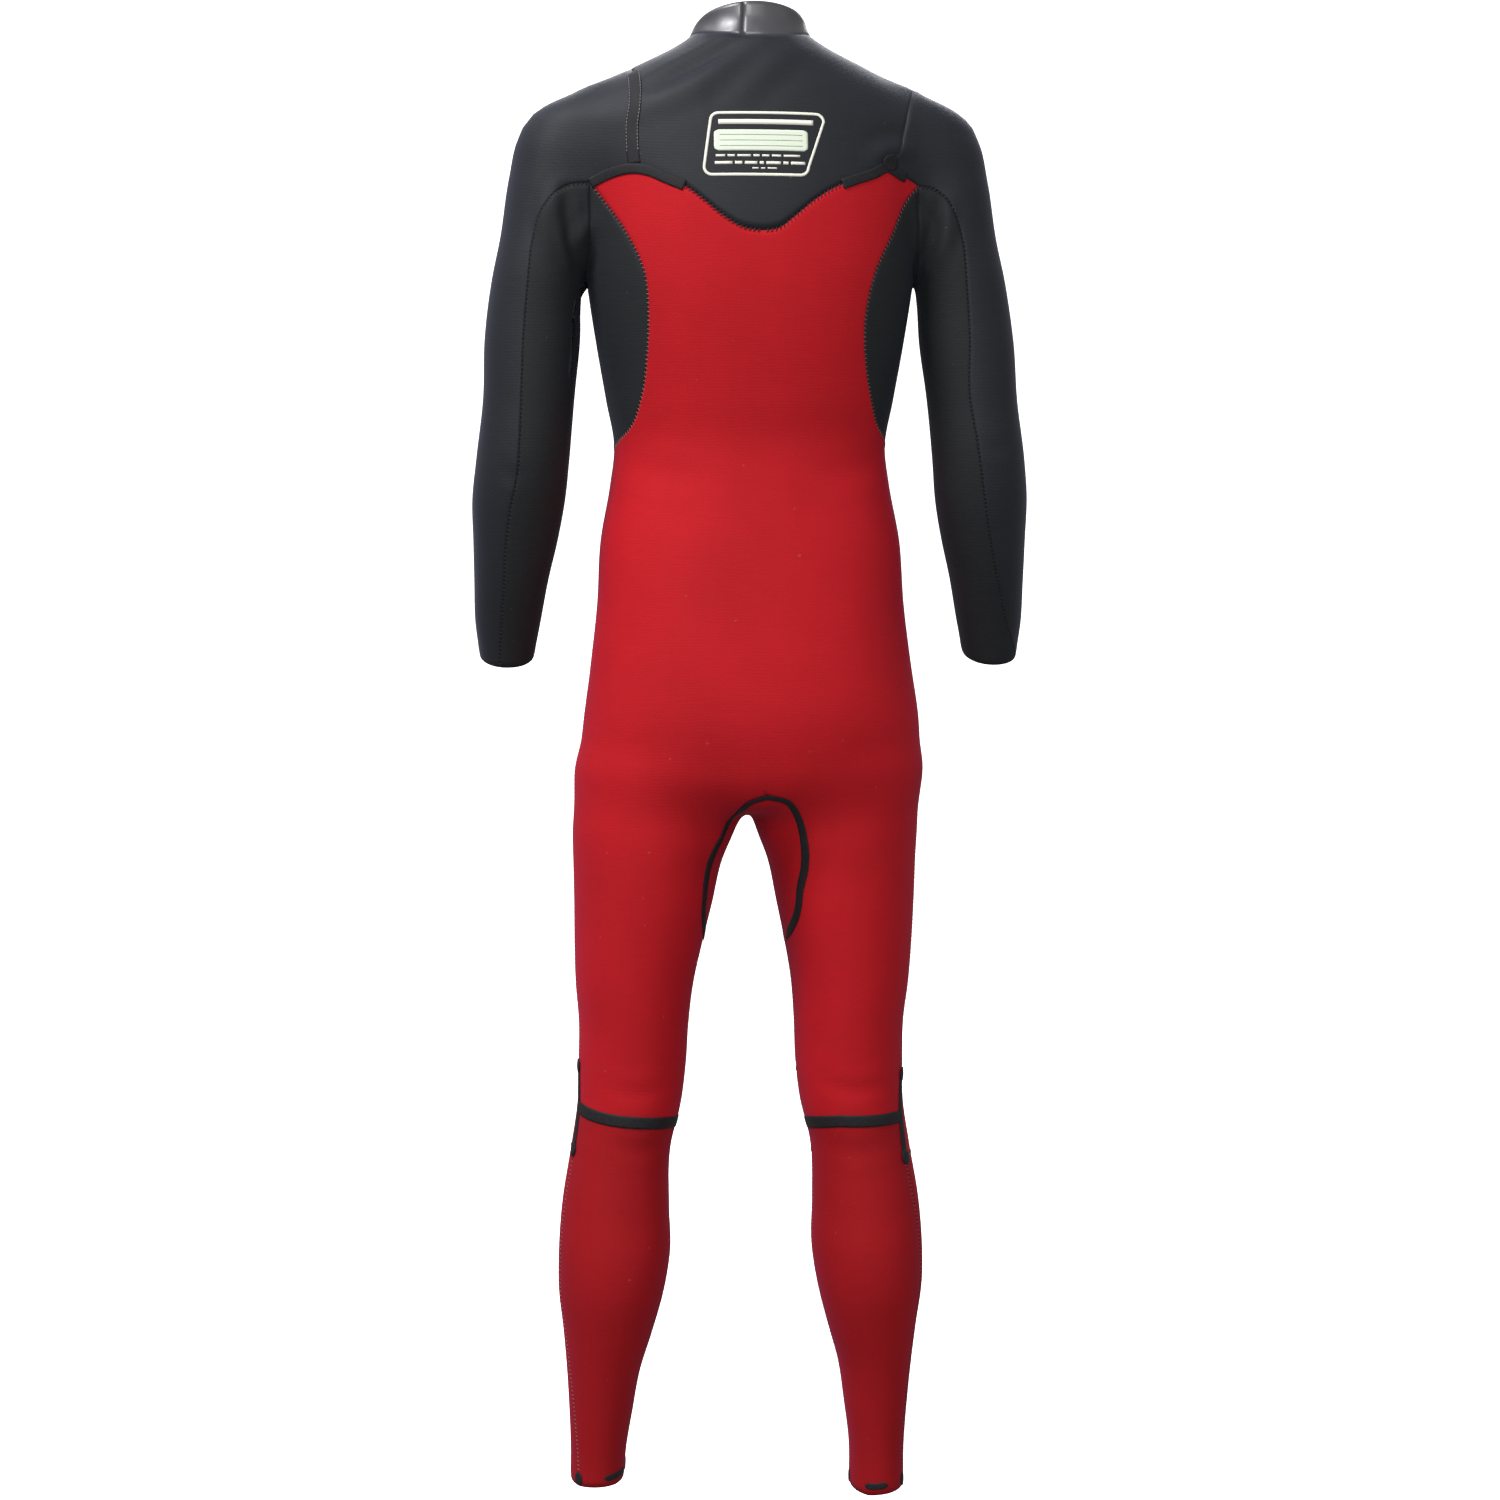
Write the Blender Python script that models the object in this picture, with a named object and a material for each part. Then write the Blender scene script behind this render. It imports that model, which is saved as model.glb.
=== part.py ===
"""A full-length neoprene wetsuit, turned inside out and filled out as it is worn.

Sizes are in millimetres and the objects are made in metres. +Z is up, the wearer's back
faces -Y and the wearer's right side is at +X. The origin is where the neck holds the suit:
the middle of the collar's seam.

The suit's outer face is one smooth skin round a general figure. Each panel that a maker
would cut is a grid of points between its seams on that skin, given a wall on the inside.
"""

from collections import namedtuple

import bpy
import numpy as np

METRE = 1000
SEAM_HALF_GAP = 0.15
LEFT, RIGHT = -1, 1
BACK, FRONT = -1, 1
SIDES = {"left": LEFT, "right": RIGHT}

# How thick each kind of panel is.
WALL = {"body": 4.0, "sleeve": 3.0, "collar": 2.5}
# A tape lies this far off its panel, and is this thick.
TAPE_GAP, TAPE_THICK = 0.85, 0.8

Ring = namedtuple("Ring", "height across ahead half_width half_depth")

TRUNK = (
    Ring(40, 0, 3, 55, 58),
    Ring(4, 0, 3, 57, 60),
    Ring(-3, 0, 3, 61, 63),
    Ring(-12, 0, 3, 74, 69),
    Ring(-36, 0, 3, 121, 82),
    Ring(-60, 0, 2, 161, 92),
    Ring(-80, 0, 1, 176, 98),
    Ring(-110, 0, 0, 178, 103),
    Ring(-160, 0, 0, 170, 110),
    Ring(-240, 0, 0, 162, 111),
    Ring(-300, 0, 1, 153, 106),
    Ring(-357, 0, 3, 143, 99),
    Ring(-404, 0, 4, 135, 94),
    Ring(-440, 0, 3, 139, 96),
    Ring(-496, 0, 0, 149, 103),
    Ring(-560, 0, -4, 153, 110),
    Ring(-620, 0, -7, 160, 115),
    Ring(-680, 0, -8, 168, 116),
    Ring(-720, 0, -7, 170, 110),
    Ring(-770, 0, -6, 160, 96),
)
ARM = (
    Ring(-58, 158, 2, 14, 30),
    Ring(-70, 168, 2, 32, 42),
    Ring(-82, 176, 1, 41, 50),
    Ring(-101, 182, 0, 46, 55),
    Ring(-141, 191, -1, 47, 57),
    Ring(-199, 199, -3, 48, 56),
    Ring(-240, 210.5, -4, 45, 54.5),
    Ring(-262, 213.5, -4, 45.5, 53.5),
    Ring(-298, 216, -5, 47, 52),
    Ring(-357, 220, -6, 45, 49),
    Ring(-416, 226, -3, 46, 49),
    Ring(-456, 230, 4, 46, 48),
    Ring(-496, 233, 13, 42, 44),
    Ring(-536, 237, 24, 37, 40),
    Ring(-576, 240, 36, 33, 35),
    Ring(-611, 241, 46, 28, 31),
    Ring(-650, 242, 58, 27, 30),
)
LEG = (
    Ring(-700, 86, -6, 78, 90),
    Ring(-777, 91, -3, 82, 91),
    Ring(-817, 98, -1, 74, 89),
    Ring(-858, 102, 0, 69, 86),
    Ring(-898, 106, 1, 64, 82),
    Ring(-939, 109, 2, 59, 78),
    Ring(-980, 109, 2, 55, 73),
    Ring(-1020, 110, 1, 54, 68),
    Ring(-1061, 113, -1, 52, 64),
    Ring(-1102, 121, -4, 50, 61),
    Ring(-1164, 127, -10, 54, 63),
    Ring(-1205, 128, -14, 56, 65),
    Ring(-1246, 131, -16, 53, 62),
    Ring(-1288, 134, -15, 45, 55),
    Ring(-1329, 138, -13, 37, 48),
    Ring(-1371, 140, -11, 32, 43),
    Ring(-1412, 142, -9, 28, 40),
    Ring(-1480, 143, -8, 28, 39),
)

# The legs stand a little to the wearer's left of the trunk: height, shift.
LEAN = (
    (0, 0), (-600, 0), (-690, 0), (-730, -2), (-780, -5), (-860, -6), (-1000, -9),
    (-1240, -11), (-1450, -14),
)
# The wearer's right arm hangs a little farther out than the left one: height, shift.
RIGHT_ARM_LEAN = (
    (0, 0), (-280, 0), (-350, 2.5), (-410, 4), (-470, 4.5), (-510, 6), (-560, 8), (-600, 10),
    (-660, 11),
)
# How softly the arms grow out of the trunk: height, blend.
ARM_BLEND = ((-60, 40), (-110, 40), (-200, 26), (-240, 10), (-290, 5), (-700, 4))
LEG_BLEND, THIGH_BLEND = 24, 16
# Each limb is cut off here, softly, where the trunk or nothing takes over: height, blend.
TRUNK_END, ARM_TOP, LEG_TOP, ARM_END = (-762, 40), (-62, 16), (-716, 20), -680

# Collar: heights at the back, the sides and the front, of its seam and of its rim.
COLLAR_SEAM, COLLAR_RIM = (-7, -2, -18), (26, 8, 4)
COLLAR_JOINT = -13  # degrees round the neck

# Where the seams run. Each row is a height and how far out the seam lies on each side.
Level = namedtuple("Level", "height left right")
SHOULDER_TOP = Level(None, 117, 158)
SHOULDER_SEAM = (
    Level(-60, 119, 155),
    Level(-79, 120, 148),
    Level(-97, 123, 144),
    Level(-113, 123, 140),
)
SHOULDER_END = (Level(-139, 121, None), Level(-135, None, 126))
ARCH = (Level(-140, 134, 136), Level(-144, 147, 146))
ARMHOLE_END = Level(-151, 162, 159)
YOKE_POINT = -199
YOKE_SEAM = (
    Level(-197, 16, 14),
    Level(-185, 38, 31),
    Level(-171, 55, 48),
    Level(-158, 72, 68),
    Level(-149, 92, 90),
    Level(-142, 107, 110),
)
CHEST_POINT = -152
CHEST_SEAM = (Level(-151, 40, 40), Level(-148, 80, 80), Level(-142, 107, 112))
# The armhole follows the crease under the arm: places round it in degrees, 0 at its lowest.
ARMPIT = (166, -4, -196)
ARMHOLE = (-70, -45, -22, 0, 22, 45, 70)
SIDE_SEAM = (
    Level(-166, 151, 146),
    Level(-196, 131, 132),
    Level(-238, 112, 112),
    Level(-280, 108, 103),
    Level(-318, 109, 104),
    Level(-350, 112, 110),
    Level(-378, 119, 118),
)
WAIST_POINT = -408
SLEEVE_SEAM = (
    Level(-153, 184, 174),
    Level(-162, 198, 187),
    Level(-178, 210, 196),
    Level(-205, 218, 204),
    Level(-240, 222, 207),
    Level(-300, 227, 211),
    Level(-350, 229, 211),
    Level(-400, 231, 220),
    Level(-430, 233, 225),
    Level(-465, 240, 231),
    Level(-510, 245, 241),
    Level(-547, 246, 251),
    Level(-582, 248, 262),
)
SLEEVE_CAP_ROW = 4  # the row of the sleeve's seam that the cap ends at
CUFF_ACROSS = Level(-616, 249, 266)
GUSSET_BACK, GUSSET_FRONT = (-744, 5), (-728, 0)
GUSSET_SEAM = (
    Level(-749, 10, 24),
    Level(-765, 23, 37),
    Level(-782, 33, 43),
    Level(-800, 42, 46),
    Level(-818, 48, 46),
    Level(-838, 51, 43),
    Level(-858, 52, 42),
)
GUSSET_TIP = -905
# How far ahead the outer seams run on their way down: height, ahead on the left and right.
OUTER_SEAM = (
    (-408, 4, 4), (-560, -1, -3), (-760, -4, -16), (-900, -5, -20), (-1023, -8, -28),
    (-1113, -22, -45), (-1205, -27, -46), (-1329, -32, -38), (-1480, -36, -27),
)
# Where the knee pads start and end, and the seam behind the knee: outer end, middle, inner end.
KNEE_TOP, KNEE_END = {LEFT: -1021, RIGHT: -1032}, {LEFT: -1103, RIGHT: -1114}
KNEE_SEAM = {LEFT: (-1061, -1070, -1079), RIGHT: (-1073, -1073, -1084)}
CUFF_HEIGHT, CUFF_AHEAD, CUFF_SLOPE = -611, 46, 0.47
# The ankle's edge: at the outer seam, in the middle of the back and at the inner seam.
ANKLE_EDGE = {LEFT: (-1443, -1441, -1436), RIGHT: (-1456, -1461, -1457)}

# Tapes and patches: how wide, or how far out from the middle of a patch.
ARCH_TAPE, SHOULDER_TAPE, CROTCH_TAPE, KNEE_TAPE, KNEE_SIDE_TAPE = 10, 14, 8, 12, 10
ARCH_TAPE_CELLS, ARCH_TAPE_START = 3, {"left": 0, "right": 0.8}
SHOULDER_PATCH, KNEE_PATCH = 9, 7
# The ankle's patches: half width and height. Its dash: where it starts and ends round the calf.
ANKLE_PATCH = {"outer": (6, 14), "inner": (4, 14)}
ANKLE_DASH = {LEFT: (0.38, 0.78), RIGHT: (0.3, 0.58)}
ZIP_TAPE, ZIP_CHAIN, ZIP_SLIDER = 28, 6, 9
ZIP_CHAIN_THICK, ZIP_SLIDER_THICK, ZIP_END = 1.8, 2.0, 0.5

# How many cells each stretch of seam is divided into. Panels that share it share its points.
CELLS = dict(
    ridge=3, neck=5, shoulder=6, arch=2, armhole=10, cap=4, arm=13, side=9, hip=7,
    thigh=13, gusset=10, inseam=3, crotch=4, pad_top=2, pad_end=2, calf=11,
)


# --- The skin ---------------------------------------------------------------------------


def curve(table):
    """A smooth curve through rows of a place and one or more values."""
    table = np.array(sorted(table), float)
    places, values = table[:, 0], table[:, 1:]
    slopes = np.gradient(values, places, axis=0)

    def value(at):
        i = np.clip(np.searchsorted(places, at) - 1, 0, len(places) - 2)
        step = (places[i + 1] - places[i])[..., None]
        t = np.clip((np.asarray(at, float) - places[i])[..., None] / step, 0, 1)
        start = (1 + 2 * t) * (1 - t) ** 2 * values[i] + t * (1 - t) ** 2 * step * slopes[i]
        end = t * t * (3 - 2 * t) * values[i + 1] - t * t * (1 - t) * step * slopes[i + 1]
        return start + end

    return value


RINGS = {"trunk": curve(TRUNK), "arm": curve(ARM), "leg": curve(LEG)}
SQUARENESS = {"trunk": 2.3, "arm": 2.1, "leg": 2.1}
lean_at, right_arm_lean_at = curve(LEAN), curve(RIGHT_ARM_LEAN)
blend_at, outer_ahead_at = curve(ARM_BLEND), curve(OUTER_SEAM)


def soft_min(a, b, blend):
    overlap = np.maximum(blend - np.abs(a - b), 0)
    return np.minimum(a, b) - overlap * overlap / (4 * blend)


def soft_max(a, b, blend):
    return -soft_min(-a, -b, blend)


def outside_limb(limb, x, y, z):
    """How far a point lies outside a limb's rings, level with them."""
    across, ahead, half_width, half_depth = np.moveaxis(RINGS[limb](z), -1, 0)
    x, y = x - across, y - ahead
    power = SQUARENESS[limb]
    far = np.hypot(x, y) + 1e-9
    share = (np.abs(x / half_width) ** power + np.abs(y / half_depth) ** power) ** (1 / power)
    return far - far / (share + 1e-9)


def skin(points):
    """How far each point lies outside the suit's outer face, about, and negative inside it."""
    body, arm = body_and_arm(points)
    return soft_min(body, arm, blend_at(np.asarray(points)[..., 2])[..., 0])


def body_and_arm(points):
    x, y, z = np.moveaxis(np.asarray(points, float), -1, 0)
    x = x - lean_at(z)[..., 0]
    out = np.abs(x)
    arm_out = out - np.where(x > 0, right_arm_lean_at(z)[..., 0], 0)
    trunk = soft_max(outside_limb("trunk", x, y, z), TRUNK_END[0] - z, TRUNK_END[1])
    arm = soft_max(outside_limb("arm", arm_out, y, z), z - ARM_TOP[0], ARM_TOP[1])
    leg = soft_max(outside_limb("leg", out, y, z), z - LEG_TOP[0], LEG_TOP[1])
    other_leg = soft_max(outside_limb("leg", -out, y, z), z - LEG_TOP[0], LEG_TOP[1])
    legs = soft_min(leg, other_leg, THIGH_BLEND)
    return soft_min(trunk, legs, LEG_BLEND), np.maximum(arm, ARM_END - z)


def steepest(points, step=0.2):
    """The skin's gradient."""
    moves = step * np.eye(3)
    ahead = np.stack([skin(points + move) for move in moves], -1)
    return (ahead - np.stack([skin(points - move) for move in moves], -1)) / (2 * step)


def normals_at(points):
    slope = steepest(points)
    return slope / np.linalg.norm(slope, axis=-1, keepdims=True)


def on_skin(points, rounds=8, longest=12):
    """The points moved straight to the skin."""
    points = np.array(points, float)
    for _ in range(rounds):
        slope = steepest(points)
        move = -(skin(points) / np.maximum((slope**2).sum(-1), 1e-9))[..., None] * slope
        length = np.linalg.norm(move, axis=-1, keepdims=True)
        points += move * np.minimum(1, longest / np.maximum(length, 1e-9))
    return points


def cast(start, way, reach=260, steps=130, rounds=20):
    """Where rays from inside first leave the skin."""
    start, way = np.broadcast_arrays(np.asarray(start, float), np.asarray(way, float))
    reaches = np.linspace(0, reach, steps + 1)
    first = (skin(start[..., None, :] + reaches[:, None] * way[..., None, :]) > 0).argmax(-1)
    near, far = reaches[first - 1], reaches[first]
    for _ in range(rounds):
        middle = (near + far) / 2
        out = skin(start + middle[..., None] * way) > 0
        near, far = np.where(out, near, middle), np.where(out, middle, far)
    return start + far[..., None] * way


# --- Seams ------------------------------------------------------------------------------


def dense(points, each=24):
    """A fine line on the skin through the points."""
    points = np.array(points, float)
    along = np.concatenate([[0], np.cumsum(np.linalg.norm(np.diff(points, axis=0), axis=1))])
    line = curve(np.column_stack([along, points]).tolist())
    return on_skin(line(np.linspace(0, along[-1], each * (len(points) - 1) + 1)))


def even(line, count):
    """The line as this many equal steps."""
    along = np.concatenate([[0], np.cumsum(np.linalg.norm(np.diff(line, axis=0), axis=1))])
    places = np.linspace(0, along[-1], count + 1)
    return np.stack([np.interp(places, along, line[:, k]) for k in range(3)], -1)


def seam(points, count):
    return on_skin(even(dense(points), count))


def seam_in_parts(points, at, counts):
    """One line through the points, parted at one of them, as equal steps in each part."""
    line = dense(points)
    cut = np.linalg.norm(line - points[at], axis=1).argmin()
    return [on_skin(even(part, n)) for part, n in zip((line[: cut + 1], line[cut:]), counts)]


def joined(*lines):
    """Lines that follow one another, as one."""
    return np.concatenate([lines[0], *(line[1:] for line in lines[1:])])


def limb_ahead(limb, height):
    return RINGS[limb](height)[..., 1]


def levels(rows, side, face, limb="trunk", like=None):
    """The rows' points on the front or back of the skin, with the sizes of the side like."""
    height = np.array([row.height for row in rows], float)
    left = (like or side) == LEFT
    out = np.array([row.left if left else row.right for row in rows], float)
    start = np.column_stack([side * out, limb_ahead(limb, height), height])
    return list(cast(start, (0, face, 0)))


def level(row, side, face, limb="trunk"):
    return levels([row], side, face, limb)[0]


def on_centre(height, face, across=0):
    return cast((across, 0, height), (0, face, 0))


def middle_of(limb, side, heights):
    """How far across and ahead the middle of a limb lies at these heights."""
    across, ahead = np.moveaxis(RINGS[limb](heights), -1, 0)[:2]
    across = side * across + lean_at(heights)[..., 0]
    if limb == "arm" and side == RIGHT:
        across = across + right_arm_lean_at(heights)[..., 0]
    return across, ahead


def round_limb(limb, side, heights, degrees):
    """Points on a limb at these heights and angles: 0 is outward, -90 the back, 180 inward."""
    heights, turn = np.asarray(heights, float), np.radians(degrees)
    middle = np.stack([*middle_of(limb, side, heights), heights], -1)
    return cast(middle, np.stack([side * np.cos(turn), np.sin(turn), 0 * turn], -1))


def angle_round(limb, side, point):
    across, ahead = middle_of(limb, side, point[2])
    return np.degrees(np.arctan2(point[1] - ahead, side * (point[0] - across)))


def arc(limb, side, start, end, count, inward=False, middle=None):
    """A line round a limb between two points, by the outside of it or by the inside."""
    first, last = (angle_round(limb, side, point) for point in (start, end))
    if inward:
        last -= 360
    share = np.linspace(0, 1, count + 1)
    stops = (start[2], (start[2] + end[2]) / 2 if middle is None else middle, end[2])
    ring = round_limb(
        limb, side, np.interp(share, (0, 0.5, 1), stops), first + share * (last - first)
    )
    ring[0], ring[-1] = start, end
    return ring


def cuff_ring(side, degrees):
    """Points of the cuff's edge, which slopes with the forearm."""
    heights = np.full(len(degrees), float(CUFF_HEIGHT))
    for _ in range(8):
        ring = round_limb("arm", side, heights, degrees)
        heights = CUFF_HEIGHT + CUFF_SLOPE * (ring[:, 1] - CUFF_AHEAD)
    return ring


def neck_ring(heights, degrees):
    """Points round the neck: 0 is the back and 90 the wearer's right."""
    back, side, front = heights
    turn = np.radians(degrees)
    height = (
        (back + front + 2 * side) / 4
        + (back - front) / 2 * np.cos(turn)
        + (back + front - 2 * side) / 4 * np.cos(2 * turn)
    )
    start = np.stack([0 * turn, limb_ahead("trunk", height), height], -1)
    return cast(start, np.stack([np.sin(turn), -np.cos(turn), 0 * turn], -1))


def outer_line(side, start, end, count):
    """The outer seam between two heights."""
    heights = np.linspace(start, end, count + 1)
    across, _ = middle_of("leg", side, heights)
    ahead = outer_ahead_at(heights)[:, 0 if side == LEFT else 1]
    return cast(np.column_stack([across, ahead, heights]), (side, 0, 0))


def inner_line(side, start, end, count):
    """The inner seam between two heights."""
    return round_limb("leg", side, np.linspace(start, end, count + 1), np.full(count + 1, 180.0))


# --- Panels -----------------------------------------------------------------------------


def coons(top, bottom, left, right):
    """A grid between four edges. Rows run from top to bottom, columns from left to right."""
    v = np.linspace(0, 1, len(left))[:, None, None]
    u = np.linspace(0, 1, len(top))[None, :, None]
    across = (1 - u) * left[:, None] + u * right[:, None]
    down = (1 - v) * top[None] + v * bottom[None]
    corners = (1 - v) * ((1 - u) * top[0] + u * top[-1]) + v * (
        (1 - u) * bottom[0] + u * bottom[-1]
    )
    return on_skin(across + down - corners)


class Panel:
    """Points on the skin and the faces between them, made of one or more grids."""

    def __init__(self, *grids, rounds=12):
        everything = np.concatenate([grid.reshape(-1, 3) for grid in grids])
        _, first, index = np.unique(
            np.round(everything, 2), axis=0, return_index=True, return_inverse=True
        )
        self.points, index, self.grids, start = everything[first], index.reshape(-1), [], 0
        for grid in grids:
            rows, columns = grid.shape[:2]
            self.grids.append(index[start : start + rows * columns].reshape(rows, columns))
            start += rows * columns
        self.faces = np.concatenate([quads_of(grid) for grid in self.grids])
        self.edges, uses = np.unique(np.sort(sides_of(self.faces), 1), axis=0, return_counts=True)
        self.rim = np.zeros(len(self.points), bool)
        self.rim[self.edges[uses == 1]] = True
        self.relax(rounds)
        self.normals = normals_at(self.points)
        self.faces = faced_out(self.points, self.faces, self.normals)

    def relax(self, rounds):
        """Evens the grid out, with its edge held."""
        a, b = self.edges.T
        count = np.bincount(self.edges.ravel(), minlength=len(self.points))[:, None]
        for _ in range(rounds):
            total = np.zeros_like(self.points)
            np.add.at(total, a, self.points[b])
            np.add.at(total, b, self.points[a])
            even_place = (self.points + total / count) / 2
            moved = on_skin(np.where(self.rim[:, None], self.points, even_place), rounds=2)
            self.points = np.where(self.rim[:, None], self.points, moved)

    def beside(self, point):
        """The points joined by an edge to the one at this place."""
        here = np.linalg.norm(self.points - point, axis=1) < 0.05
        a, b = here[self.edges].T
        return self.points[np.concatenate([self.edges[a & ~b, 1], self.edges[b & ~a, 0]])]

    def round_corner(self, point):
        """The corners of the faces that meet at this place."""
        here = np.linalg.norm(self.points - point, axis=1) < 0.05
        near = np.unique(self.faces[here[self.faces].any(1)])
        return self.points[near[~here[near]]]

    def between(self, rows, columns):
        """Points at places counted in the rows and columns of the panel's first grid."""
        grid = self.points[self.grids[0]]
        i, j = np.floor(rows).astype(int)[:, None], np.floor(columns).astype(int)[None]
        v, u = (rows[:, None] - i)[..., None], (columns[None] - j)[..., None]
        near = (1 - u) * grid[i, j] + u * grid[i, j + 1]
        return (1 - v) * near + v * ((1 - u) * grid[i + 1, j] + u * grid[i + 1, j + 1])

    def parted(self, gap=SEAM_HALF_GAP):
        """The points, with the edge drawn in from its seams."""
        sides = sides_of(self.faces)
        _, index, uses = np.unique(
            np.sort(sides, 1), axis=0, return_inverse=True, return_counts=True
        )
        a, b = sides[uses[index.reshape(-1)] == 1].T
        inward = np.cross(self.normals[a] + self.normals[b], self.points[b] - self.points[a])
        inward /= np.linalg.norm(inward, axis=1, keepdims=True)
        total = np.zeros_like(self.points)
        np.add.at(total, a, inward)
        np.add.at(total, b, inward)
        squared = np.maximum((total**2).sum(1, keepdims=True), 0.2)
        return self.points + gap * 2 * total / squared


def faced_out(points, faces, normals):
    """The faces, turned round if they face into the suit."""
    a, b, c = (points[faces[:, k]] for k in (0, 1, 2))
    facing = (np.cross(b - a, c - a) * normals[faces[:, 0]]).sum()
    return faces[:, ::-1] if facing < 0 else faces


def quads_of(grid):
    corners = grid[:-1, :-1], grid[1:, :-1], grid[1:, 1:], grid[:-1, 1:]
    return np.stack([corner.ravel() for corner in corners], -1)


def sides_of(faces):
    """The faces' edges, in order round each. A face that closes to a point has fewer."""
    count = faces.shape[1]
    sides = np.concatenate([faces[:, [k, (k + 1) % count]] for k in range(count)])
    return sides[sides[:, 0] != sides[:, 1]]


def whole(faces):
    """The faces as lists, each corner once."""
    kept = ([c for k, c in enumerate(face) if c != face[k - 1]] for face in faces.tolist())
    return [face for face in kept if len(face) > 2]


# --- Solids -----------------------------------------------------------------------------

Look = namedtuple("Look", "colour roughness")
LOOKS = {
    "collar": Look((0.05, 0.05, 0.055), 0.25),
    "jersey": Look((0.035, 0.038, 0.045), 0.75),
    "under": Look((0.025, 0.026, 0.032), 0.8),
    "red": Look((0.43, 0.02, 0.03), 0.7),
    "calf": Look((0.27, 0.015, 0.02), 0.75),
    "tape": Look((0.02, 0.02, 0.024), 0.6),
    "zip": Look((0.03, 0.03, 0.03), 0.5),
}


def material(name):
    made = bpy.data.materials.get(name)
    if made is None:
        made = bpy.data.materials.new(name)
        made.use_nodes = True
        shader = made.node_tree.nodes["Principled BSDF"]
        shader.inputs["Base Color"].default_value = (*LOOKS[name].colour, 1)
        shader.inputs["Roughness"].default_value = LOOKS[name].roughness
        shader.inputs["Metallic"].default_value = 0
    return made


UPWARD = np.array([0.3, 0.2, 1.0])


def solid(name, look, low, high, faces):
    """A closed wall between two sheets of points with the same faces."""
    sides = sides_of(faces)
    _, index, uses = np.unique(np.sort(sides, 1), axis=0, return_inverse=True, return_counts=True)
    a, b = sides[uses[index.reshape(-1)] == 1].T
    count = len(high)
    # Each wall face is cut corner to corner from its lower end, as its neighbour's is.
    lower = (high @ UPWARD)[a] < (high @ UPWARD)[b]
    first, second = [b, a, a + count], [b, a + count, b + count]
    third, fourth = [b, a, b + count], [a, a + count, b + count]
    walls = np.concatenate(
        [
            np.where(lower[:, None], np.stack(one, -1), np.stack(other, -1))
            for one, other in ((third, first), (fourth, second))
        ]
    )
    everything = whole(faces) + whole(faces[:, ::-1] + count) + walls.tolist()
    mesh = bpy.data.meshes.new(name)
    mesh.from_pydata((np.concatenate([high, low]) / METRE).tolist(), [], everything)
    mesh.materials.append(material(look))
    mesh.shade_smooth()
    mesh.set_sharp_from_angle(angle=0.7)
    made = bpy.data.objects.new(name, mesh)
    bpy.context.scene.collection.objects.link(made)
    return made


def panel_solid(name, look, wall, panel):
    high = panel.parted()
    return solid(name, look, high - wall * panel.normals, high, panel.faces)


def strip_solid(name, grid, low=TAPE_GAP, high=TAPE_GAP + TAPE_THICK, look="tape"):
    """A strip that lies on panels: a grid of their own points, moved out."""
    points, normals = grid.reshape(-1, 3), normals_at(grid.reshape(-1, 3))
    faces = quads_of(np.arange(len(points)).reshape(grid.shape[:2]))
    faces = faced_out(points, faces, normals)
    return solid(name, look, points + low * normals, points + high * normals, faces)


def next_to(line, panels):
    """For each point of a seam, the panels' point beside it that lies most squarely off it."""
    found = []
    for point, way in zip(line, np.gradient(line, axis=0)):
        near = np.concatenate([panel.beside(point) for panel in panels])
        off = near - point
        skew = np.abs(off @ way) / np.linalg.norm(off, axis=1) / np.linalg.norm(way)
        found.append(near[skew.argmin()])
    return np.array(found)


def set_off(line, near, width):
    """Points of the panel next to a seam, this far from it."""
    along = np.gradient(line, axis=0)
    along /= np.linalg.norm(along, axis=1, keepdims=True)
    way = near - line
    square = way - (way * along).sum(1, keepdims=True) * along
    off = np.linalg.norm(square, axis=1, keepdims=True)
    far = np.linalg.norm(way, axis=1, keepdims=True)
    return line + way * np.reshape(width, (-1, 1)) / np.maximum(off, far / 2)


def part_of(line, start, end, count):
    """A stretch of a line, from one place to another counted in its steps."""
    places = np.linspace(start, end, count + 1)
    return np.stack([np.interp(places, range(len(line)), line[:, k]) for k in range(3)], -1)


def round_bend(line, near, panel, bend, step=0.02):
    """The line and what is next to it, with a point more on each side of a bend."""
    places = np.sort([*range(len(line)), bend - step, bend + step])
    line, *near = (np.array([part_of(each, k, k, 0)[0] for k in places]) for each in (line, *near))
    fan = panel.beside(line[bend + 1])
    near[1][bend], near[1][bend + 2] = fan[fan[:, 0].argmin()], fan[fan[:, 0].argmax()]
    return line, near


def tape(name, line, panels, half_width, stretch=None, bend=None, **more):
    """A tape over a seam, or over a stretch of it. It lies on the panels of each side."""
    near = [next_to(line, group) for group in panels]
    if bend is not None:
        line, near = round_bend(line, near, panels[1][0], bend)
    if stretch:
        line, *near = (part_of(each, *stretch) for each in (line, *near))
    edges = [set_off(line, each, half_width) for each in near]
    strip_solid(name, np.stack([edges[0], line, edges[1]], 1), **more)


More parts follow.
